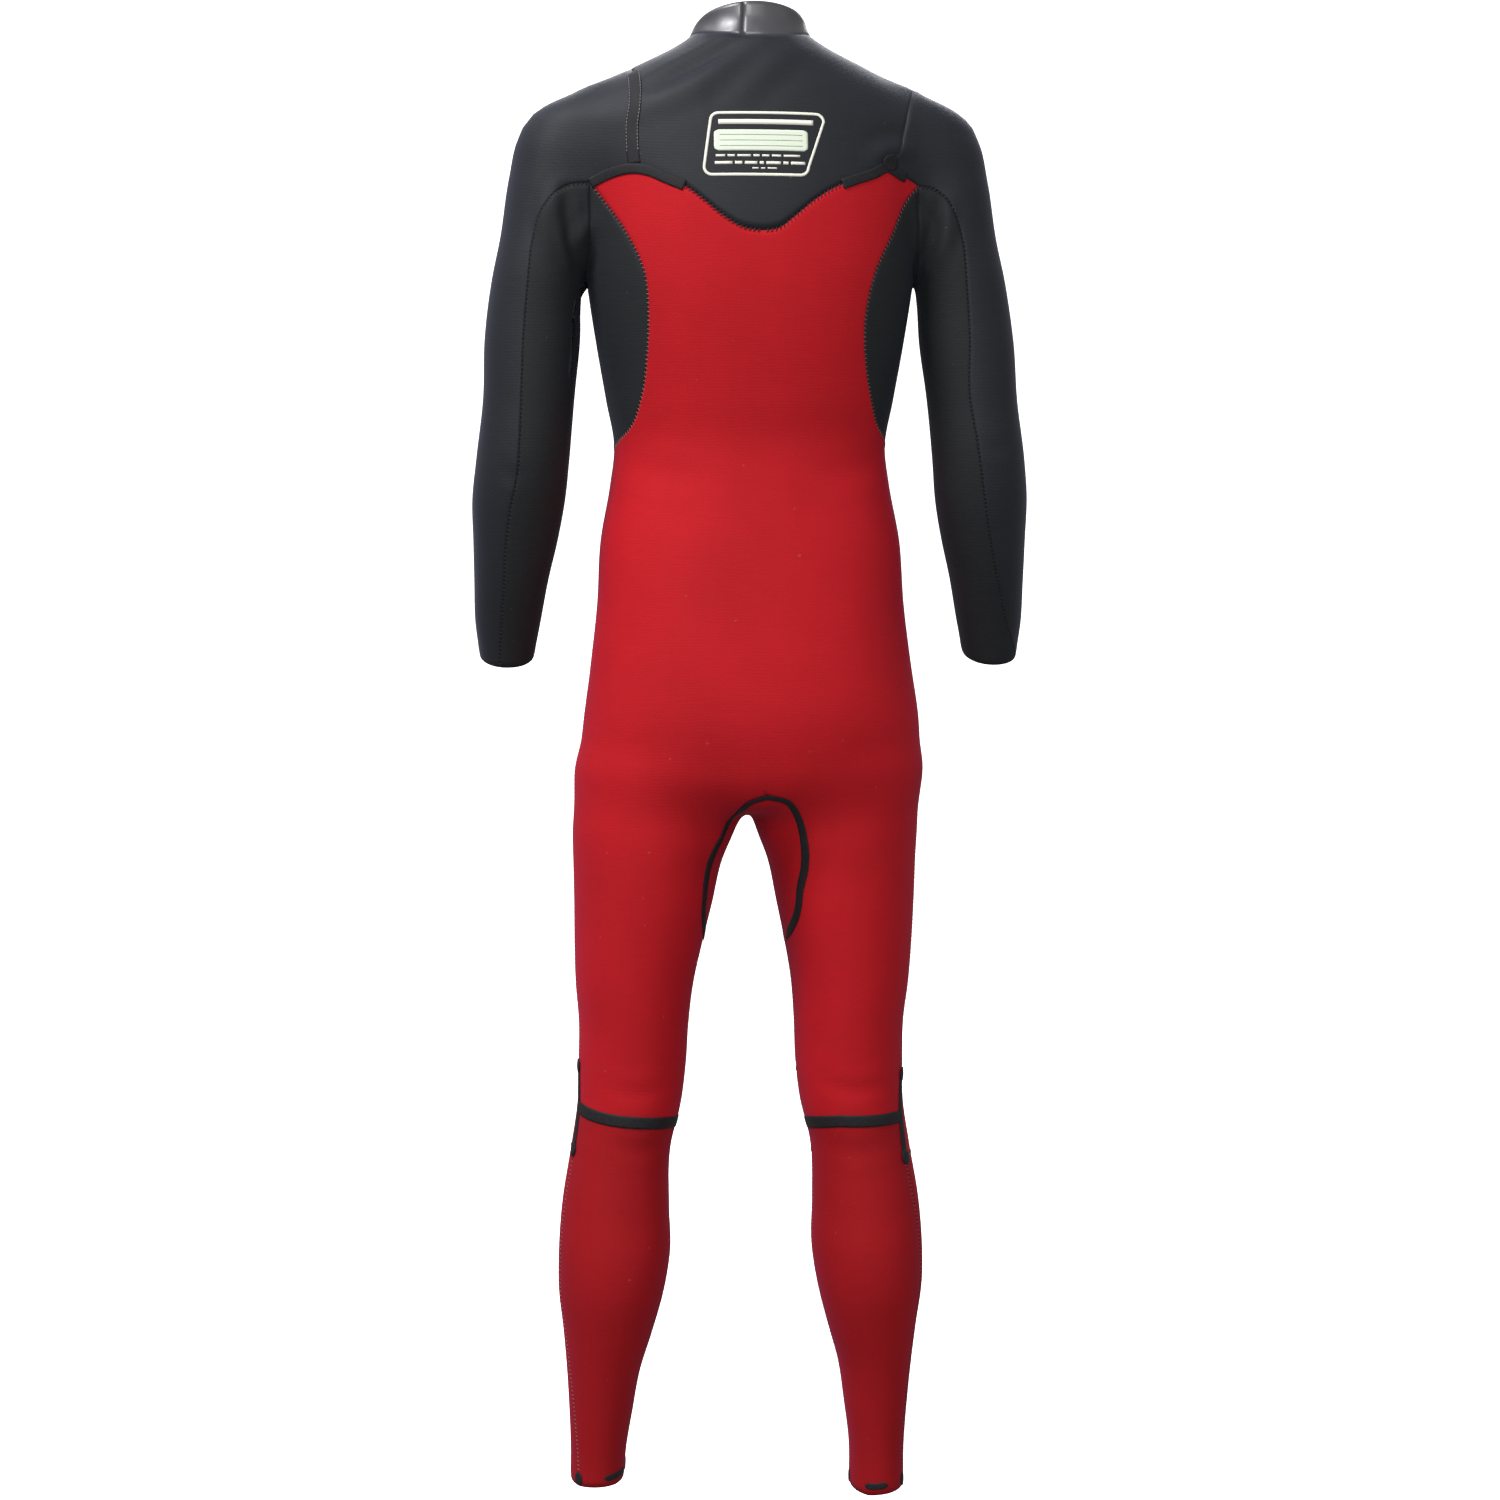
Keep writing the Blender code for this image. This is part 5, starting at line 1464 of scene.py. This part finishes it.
class WETSUIT_OT_tapes(bpy.types.Operator):
    """Lays the seam tapes and the patches at their ends"""

    bl_idname = "wetsuit.tapes"
    bl_label = "Tapes and patches"

    def execute(self, context):
        sizes, suit = context.scene.wetsuit_sizes, the_suit()
        for name, side in SIDES.items():
            self.upper(suit, name, side, sizes)
            self.knee(suit, name, side, sizes)
            self.ankle(suit, name, side, sizes)
        seams = suit.upper[LEFT, BACK]
        line = stretch_of(seams["shoulder"], SHOULDER_TAPE_START, 0.97)
        add_tape("tape_shoulder_left", line, SHOULDER_TAPE, sizes)
        centre = suit.upper[RIGHT, BACK]["shoulder"][-1] + np.array([2, 0, 4.5])
        add_patch("patch_shoulder_right", on_skin(centre), SHOULDER_PATCH, sizes)
        crotch = joined(suit.gusset[LEFT, BACK][::-1], suit.gusset[RIGHT, BACK])
        line = stretch_of(crotch, 0.04, 0.96)
        share = np.linspace(-1, 1, len(line))
        # It is narrowest where the legs meet, and tapers again at its ends.
        width = CROTCH_TAPE.half_width * (0.55 + 0.45 * np.clip(2.4 * np.abs(share), 0, 1))
        width *= np.clip(8 * (1 - np.abs(share)) + 0.3, 0, 1)
        add_tape("tape_crotch", line, CROTCH_TAPE, sizes, half_width=width)
        return {"FINISHED"}

    def upper(self, suit, name, side, sizes):
        seams = suit.upper[side, BACK]
        line = joined(seams["arch"], seams["yoke"][: 3 * FINE + 1])
        line = stretch_of(line, ARCH_TAPE_START[side], 1)
        add_tape("tape_arch_" + name, line, ARCH_TAPE, sizes)

    def knee(self, suit, name, side, sizes):
        outer, _, lines = suit.legs[side]
        add_tape("tape_knee_" + name, stretch_of(lines["knee"], 0.0, 1.0), KNEE_TAPE, sizes)
        down = joined(outer["pad_top"], outer["pad_end"])
        add_tape("tape_knee_side_" + name, stretch_of(down, 0, 1), KNEE_SIDE_TAPE, sizes)
        add_patch("patch_knee_top_" + name, down[0], KNEE_TOP_PATCH, sizes)
        add_patch("patch_knee_end_" + name, down[-1], KNEE_END_PATCH, sizes)

    def ankle(self, suit, name, side, sizes):
        outer, inner, _ = suit.legs[side]
        for place, line in (("outer", outer["calf"]), ("inner", inner["calf"])):
            size = ANKLE_PATCHES[place]
            share = 1 - (size.half_high + 0.4) / length_of(line)
            centre = stretch_of(line, share, 1.0)[0]
            add_patch(f"patch_ankle_{place}_{name}", centre, size, sizes)
        calf = suit.panels["calf_" + name]
        grid = calf.points[calf.grids[0]]
        line = stretch_of((grid[-2] + grid[-3]) / 2, *ANKLE_DASH[side])
        share = np.linspace(-1, 1, len(line))
        width = ANKLE_TAPE.half_width * np.sqrt(np.clip(1 - share**8, 0.05, 1))
        add_tape("tape_ankle_" + name, line, ANKLE_TAPE, sizes, half_width=width)


# --- Sewing -----------------------------------------------------------------------------

# Stitches across a seam: half as long, how thick against the usual thread, and their slant.
Sewing = namedtuple("Sewing", "half_length thick slant")
YOKE_SEWING = Sewing(2, 1.4, 0.5)
SIDE_SEWING, SEAM_SEWING = Sewing(1.4, 1, 0.3), Sewing(1.5, 1, 0.3)
# Stitches along an edge: their pitch, how long they are against half of it, and the thread.
TAPE_EDGE_SEWING, ZIP_SEWING = (3.4, 0.62, 0.45), (3.2, 0.6, 0.4)

class WETSUIT_OT_stitches(bpy.types.Operator):
    """Sews the seams, and the edges of the shoulder tape"""

    bl_idname = "wetsuit.stitches"
    bl_label = "Stitches"

    def execute(self, context):
        sizes, suit, finish = context.scene.wetsuit_sizes, the_suit(), finishes()
        pitch, radius = sizes.stitch_pitch * METRE, sizes.thread_radius * METRE
        dark, red = finish["dark_thread"], finish["red_thread"]
        yoke = [suit.upper[side, face]["yoke"] for side in (LEFT, RIGHT) for face in (BACK, FRONT)]
        pieces = [seam_stitches("yoke_stitches", yoke, pitch, radius, YOKE_SEWING, dark)]
        side = list(suit.side.values())
        pieces.append(seam_stitches("side_stitches", side, pitch, radius, SIDE_SEWING, red))
        sleeves = [
            *suit.sleeve.values(),
            *(suit.upper[side, FRONT]["arch"] for side in (LEFT, RIGHT)),
        ]
        pieces.append(seam_stitches("sleeve_stitches", sleeves, pitch, radius, SEAM_SEWING, dark))
        legs = []
        for outer, inner, lines in suit.legs.values():
            legs += [outer["thigh"], outer["calf"], *inner.values()]
            legs += [lines["pad_top"], lines["pad_end"]]
        legs += [suit.gusset[side, FRONT] for side in (LEFT, RIGHT)]
        pieces.append(seam_stitches("leg_stitches", legs, pitch, radius, SEAM_SEWING, red))
        line = stretch_of(suit.upper[LEFT, BACK]["shoulder"], SHOULDER_TAPE_START, 0.9)
        grid = band(line, SHOULDER_TAPE.half_width * 0.86, columns=3)
        edges, grey = [grid[:, 0], grid[:, 2]], finish["grey_thread"]
        piece = running_stitches("tape_edge_stitches", edges, *TAPE_EDGE_SEWING, grey)
        places = np.array([vertex.co for vertex in piece.data.vertices]) * METRE
        for vertex, normal in zip(piece.data.vertices, normals_at(places)):
            vertex.co += Vector(normal) * (0.75 * sizes.tape_thickness)
        pieces.append(piece)
        for piece in pieces:
            dressed(piece, "tape")
        return {"FINISHED"}


# --- The print --------------------------------------------------------------------------

# A blank label printed on the back yoke: where its middle is, its corners from there, from the
# top right round by the top left, and sizes in its own plane.
PRINT_MIDDLE = (2, -116)
FRAME_CORNERS = ((60, 31.5), (-53, 31.5), (-60, -31.5), (44, -31.5))
FRAME_LINE, FRAME_CORNER = 2.7, 9
BOX_MIDDLE, BOX_HALF_WIDE, BOX_HIGH, BOX_LOW, BOX_CORNER = -3, 45.5, 13.5, -7.0, 4
PRINT_THICK, PRINT_LOW = 0.12, 0.12
# The faint rules in the write-on box, and the bar above it: start, end, height, half height.
RULE_HEIGHTS, RULE_REACH, RULE_HALF = (8.6, 3.2, -2.2), 40, 0.35
HEAD_BAR = (-44, 48, 21.2, 2.4)
# Rows of short bars where such a label has small print: height, half height, start, and lengths.
BAR_ROWS = (
    (-11.8, 1.0, -47, (9, 7, 13, 6, 7, 9, 16)),
    (-18.8, 1.4, -48, (17, 7, 12, 4, 14, 5, 14)),
    (-24.0, 0.7, -12, (6, 4, 9)),
)
BAR_GAP = 2.4


class WETSUIT_OT_print(bpy.types.Operator):
    """Prints a blank label with a write-on box on the back yoke"""

    bl_idname = "wetsuit.print"
    bl_label = "Label print"

    def execute(self, context):
        finish = finishes()
        outer, inner = (self.rounded_frame(inset) for inset in (0, FRAME_LINE))
        share = np.linspace(0, 1, 3)[:, None, None]
        pieces = [self.sheet_of("label_frame", outer + share * (inner - outer), finish["print"])]
        pieces.append(self.sheet_of("label_write_on_box", self.box(), finish["write_on"]))
        for k, height in enumerate(RULE_HEIGHTS):
            bar = self.bar(BOX_MIDDLE - RULE_REACH, BOX_MIDDLE + RULE_REACH, height, RULE_HALF)
            pieces.append(self.sheet_of(f"label_rule_{k + 1}", bar, finish["faint"], 0.1))
        head = self.bar(*HEAD_BAR)
        pieces.append(self.sheet_of("label_head_bar", head, finish["print"]))
        for row, (height, half, start, lengths) in enumerate(BAR_ROWS):
            for k, length in enumerate(lengths):
                bar = self.bar(start, start + length, height, half, 5)
                name = f"label_bar_{row + 1}_{k + 1}"
                pieces.append(self.sheet_of(name, bar, finish["print"]))
                start += length + BAR_GAP
        for piece in pieces:
            dressed(piece, "jersey")
        return {"FINISHED"}

    def rounded_frame(self, inset):
        """A closed line round the label's edge, with rounded corners."""
        corners = np.array(FRAME_CORNERS, float)
        line, radius = [], FRAME_CORNER - inset
        for k, corner in enumerate(corners):
            turn = np.radians(np.linspace(90 * k, 90 * k + 90, 7))
            middle = corner - FRAME_CORNER * np.sign(corner)
            line.append(middle + radius * np.column_stack([np.cos(turn), np.sin(turn)]))
        line = np.concatenate(line)
        line = np.concatenate([line, line[:1]])
        along = run_of(line)
        places = np.linspace(0, along[-1], 161)
        return np.stack([np.interp(places, along, line[:, k]) for k in range(2)], -1)

    def box(self):
        up = np.linspace(BOX_LOW, BOX_HIGH, 13)
        edge = np.minimum(up - BOX_LOW, BOX_HIGH - up)
        near = np.clip(BOX_CORNER - edge, 0, BOX_CORNER)
        cut = BOX_CORNER - np.sqrt(BOX_CORNER**2 - near**2)
        right = BOX_MIDDLE + np.linspace(-1, 1, 41)[None] * (BOX_HALF_WIDE - cut)[:, None]
        return np.stack([right, np.repeat(up[:, None], 41, 1)], -1)

    def bar(self, start, end, height, half, count=33):
        right = np.linspace(start, end, count)
        rows = (np.full(count, height + edge) for edge in (-half, half))
        return np.stack([np.stack([right, row], -1) for row in rows])

    def sheet_of(self, name, grid, finish, more=0.0):
        """Flat places laid on the yoke. A closed frame's last column meets its first."""
        across, height = PRINT_MIDDLE
        centre = cast((across, 0, height), (0, BACK, 0))
        side, up = upright(centre)
        points = on_skin(centre + grid[..., :1] * side + grid[..., 1:] * up)
        rows, columns = points.shape[:2]
        index = np.arange(rows * columns).reshape(rows, columns)
        if np.allclose(grid[:, 0], grid[:, -1]):
            index[:, -1] = index[:, 0]
        points = points.reshape(-1, 3)
        faces = faced_out(points, quads_of(index), normals_at(points))
        low = PRINT_LOW + more
        return walled(name, laid(points, low), laid(points, low + PRINT_THICK), faces, [finish])


# --- The zip ----------------------------------------------------------------------------

ZIP_HALF_TAPE, ZIP_PITCH, ZIP_SLIDER_AT = 14.0, 2.6, 0.03
# Halves along and across the zip and the whole height of its blocks, how high they start, how
# far every other tooth stands across, and how far ahead of the slider its pull is.
ZIP_TOOTH, TOOTH_LOW, TOOTH_ACROSS = (1.1, 1.9, 1.5), 0.9, 0.9
SLIDER_BODY, SLIDER_LOW = (5.5, 4.5, 2.2), 2.3
SLIDER_PULL, PULL_LOW, PULL_AHEAD = (9, 2.6, 1.1), 4.7, 9


class WETSUIT_OT_zip(bpy.types.Operator):
    """Makes the closed zip across the chest: its tape, teeth and slider"""

    bl_idname = "wetsuit.zip"
    bl_label = "Chest zip"

    def execute(self, context):
        suit, finish = the_suit(), finishes()
        left, right = (suit.upper[side, FRONT]["yoke"] for side in (LEFT, RIGHT))
        line = joined(left[FINE:], right[FINE:][::-1])
        fine = stretch_of(line, 0, 1)
        tape = strip("cloth_zip_tape", band(fine, ZIP_HALF_TAPE, 9), 0.15, 0.8, finish["tape"])
        teeth = self.teeth(line, finish["plastic"])
        slider = self.slider(line, finish["plastic"])
        grid = band(stretch_of(line, 0.01, 0.99), ZIP_HALF_TAPE * 0.82, columns=3)
        rows = [grid[:, 0], grid[:, 2]]
        sewing = running_stitches("zip_stitches", rows, *ZIP_SEWING, finish["dark_thread"])
        dressed(tape, "zip", "zip_tape")
        dressed(teeth, "zip", "zip_chain")
        dressed(slider, "zip", "zip_slider")
        dressed(sewing, "zip")
        return {"FINISHED"}

    def blocks(self, name, middle, along, across, half, low, finish):
        """Small blocks laid on the suit at each middle, bevelled on top."""
        corners = []
        for height, draw in ((low, 1.0), (low + 0.6 * half[2], 1.0), (low + half[2], 0.7)):
            base = laid(middle, height)
            for x, y in ((-1, -1), (1, -1), (1, 1), (-1, 1)):
                corners.append(base + draw * (x * half[0] * along + y * half[1] * across))
        points = np.stack(corners, 1)
        index = np.arange(len(middle))[:, None] * 12
        quads = [(3, 2, 1, 0), (8, 9, 10, 11)]
        for ring in (0, 4):
            for k, after in enumerate((1, 2, 3, 0)):
                quads.append((ring + k, ring + after, ring + 4 + after, ring + 4 + k))
        faces = (index[:, None] + np.array(quads)[None]).reshape(-1, 4)
        return add_mesh(name, points.reshape(-1, 3), faces.tolist(), [finish])

    def teeth(self, line, finish):
        count = int(length_of(line) / ZIP_PITCH)
        middle = even(line, count)[1:-1]
        across, along = across_line(middle), unit(np.gradient(middle, axis=0))
        turn = np.where(np.arange(len(middle)) % 2, 1, -1)[:, None]
        middle = middle + TOOTH_ACROSS * turn * across
        return self.blocks("zip_teeth", middle, along, across, ZIP_TOOTH, TOOTH_LOW, finish)

    def slider(self, line, finish):
        ahead = stretch_of(line, ZIP_SLIDER_AT, 1)
        middle, across, along = ahead[:1], across_line(ahead)[:1], unit(ahead[1:2] - ahead[:1])
        ways = along, across
        body = self.blocks("zip_slider_body", middle, *ways, SLIDER_BODY, SLIDER_LOW, finish)
        ahead = middle + PULL_AHEAD * along
        dressed(self.blocks("zip_pull", ahead, *ways, SLIDER_PULL, PULL_LOW, finish), "zip")
        return body


# --- The stage --------------------------------------------------------------------------

CAMERA_FAR, CAMERA_HEIGHT, CAMERA_TURN, CAMERA_TILT = 3.2, -0.4543, -6.5, 4.5
PICTURE_SIDE, PICTURE_FAR = 1500, 3200
FLOOR_HEIGHT, FLOOR_HALF, WALL_BEHIND, WALL_HEIGHT, CURVE = -1.5, 5.0, 4.8, 4.0, 1.2
# How bright the sky is as light, straight below and straight above.
SKY_LOW, SKY_HIGH = 0.24, 0.4


class WETSUIT_OT_stage(bpy.types.Operator):
    """Sets up the pale floor and wall, the soft lights and the camera"""

    bl_idname = "wetsuit.stage"
    bl_label = "Stage"

    def execute(self, context):
        self.sweep()
        self.camera(context.scene)
        self.lights(context.scene)
        return {"FINISHED"}

    def sweep(self):
        """A floor that curves up into a wall behind the suit."""
        turn = np.linspace(0, math.pi / 2, 17)
        bend = WALL_BEHIND - CURVE + CURVE * np.sin(turn)
        ahead = np.concatenate([[-FLOOR_HALF], bend, [WALL_BEHIND]])
        height = np.concatenate([[0], CURVE - CURVE * np.cos(turn), [WALL_HEIGHT]]) + FLOOR_HEIGHT
        across = np.array([-FLOOR_HALF, FLOOR_HALF])
        grid = np.stack([np.stack([np.full(len(ahead), x), ahead, height], -1) for x in across], 1)
        faces = quads_of(np.arange(grid.size // 3).reshape(grid.shape[:2]))
        made = add_mesh("studio_sweep", grid.reshape(-1, 3) * METRE, faces.tolist(), [self.paper()])
        made.visible_diffuse = made.visible_glossy = False

    def paper(self):
        made, tree, shader, place = bare_material("studio_paper")
        noise = stretched_noise(tree, place, (3, 3, 3), 2.0)
        pale = mixed(tree, noise, (0.9, 0.9, 0.9), (0.94, 0.94, 0.94))
        tree.links.new(pale, shader.inputs["Base Color"])
        set_inputs(shader, Roughness=0.9, Specular_IOR_Level=0.0)
        set_inputs(shader, Emission_Color=(1, 1, 1, 1), Emission_Strength=1.0)
        return made

    def camera(self, scene):
        turn, tilt = math.radians(CAMERA_TURN), math.radians(CAMERA_TILT)
        data = bpy.data.cameras.new("camera")
        data.sensor_fit = "HORIZONTAL"
        data.angle = 2 * math.atan(PICTURE_SIDE / 2 / PICTURE_FAR)
        camera = bpy.data.objects.new("camera", data)
        scene.collection.objects.link(camera)
        across, back = math.sin(turn), -math.cos(turn)
        camera.location = (CAMERA_FAR * across, CAMERA_FAR * back, CAMERA_HEIGHT)
        level = math.cos(tilt)
        ahead = Vector((-across * level, -back * level, -math.sin(tilt)))
        camera.rotation_euler = ahead.to_track_quat("-Z", "Y").to_euler()
        scene.camera = camera

    def lights(self, scene):
        scene.view_settings.view_transform = "Standard"
        scene.world = self.sky()
        for name, place, size, power, colour in (
            ("key", (-2.5, -1.9, 3.4), 1.6, 235, (0.96, 0.96, 1.0)),
            ("front", (-0.7, -3.4, 0.7), 1.2, 55, (1.0, 0.99, 0.98)),
            ("shoulders", (-1.5, 0.9, 1.9), 1.0, 10, (0.8, 0.84, 1.0)),
            ("fill", (2.8, -2.2, 0.4), 2.4, 7, (0.95, 0.97, 1.0)),
            ("front_of_suit", (0.6, 3.0, 1.8), 2.4, 90, (1.0, 1.0, 1.0)),
        ):
            data = bpy.data.lights.new(name, "AREA")
            data.size, data.energy, data.color = size, power, colour
            light = bpy.data.objects.new(name, data)
            scene.collection.objects.link(light)
            light.location = place
            target = Vector((0, 0, -0.5)) - light.location
            light.rotation_euler = target.to_track_quat("-Z", "Y").to_euler()

    def sky(self):
        """White all round, and dimmer as light, more so from below."""
        world = bpy.data.worlds.new("studio")
        world.use_nodes = True
        tree = world.node_tree
        background = tree.nodes["Background"]
        background.inputs["Color"].default_value = (1, 1, 1, 1)
        place = node(tree, "ShaderNodeTexCoord").outputs["Generated"]
        parts = node(tree, "ShaderNodeSeparateXYZ")
        tree.links.new(place, parts.inputs[0])
        values = {"From Min": -1.0, "From Max": 1.0, "To Min": SKY_LOW, "To Max": SKY_HIGH}
        light = node(tree, "ShaderNodeMapRange", values)
        tree.links.new(parts.outputs["Z"], light.inputs["Value"])
        seen = node(tree, "ShaderNodeLightPath").outputs["Is Camera Ray"]
        strength = math_node(tree, "MAXIMUM", light.outputs[0], seen)
        tree.links.new(strength, background.inputs["Strength"])
        return world


class WETSUIT_PT_panel(bpy.types.Panel):
    """The wetsuit's sizes, colours and steps"""

    bl_idname = "WETSUIT_PT_panel"
    bl_label = "Wetsuit"
    bl_space_type = "VIEW_3D"
    bl_region_type = "UI"
    bl_category = "Wetsuit"

    def draw(self, context):
        for group in (context.scene.wetsuit_sizes, context.scene.wetsuit_colours):
            box = self.layout.box()
            for name in group.__annotations__:
                box.prop(group, name)
        for operator in OPERATORS:
            self.layout.operator(operator.bl_idname)


OPERATORS = (
    WETSUIT_OT_panels,
    WETSUIT_OT_tapes,
    WETSUIT_OT_stitches,
    WETSUIT_OT_print,
    WETSUIT_OT_zip,
    WETSUIT_OT_stage,
)
CLASSES = (WetsuitSizes, WetsuitColours, *OPERATORS, WETSUIT_PT_panel)


def register():
    for item in CLASSES:
        bpy.utils.register_class(item)
    bpy.types.Scene.wetsuit_sizes = bpy.props.PointerProperty(type=WetsuitSizes)
    bpy.types.Scene.wetsuit_colours = bpy.props.PointerProperty(type=WetsuitColours)


def unregister():
    del bpy.types.Scene.wetsuit_colours
    del bpy.types.Scene.wetsuit_sizes
    for item in reversed(CLASSES):
        bpy.utils.unregister_class(item)


def main():
    register()
    for step in ("panels", "tapes", "stitches", "print", "zip", "stage"):
        getattr(bpy.ops.wetsuit, step)()


if __name__ == "__main__":
    main()
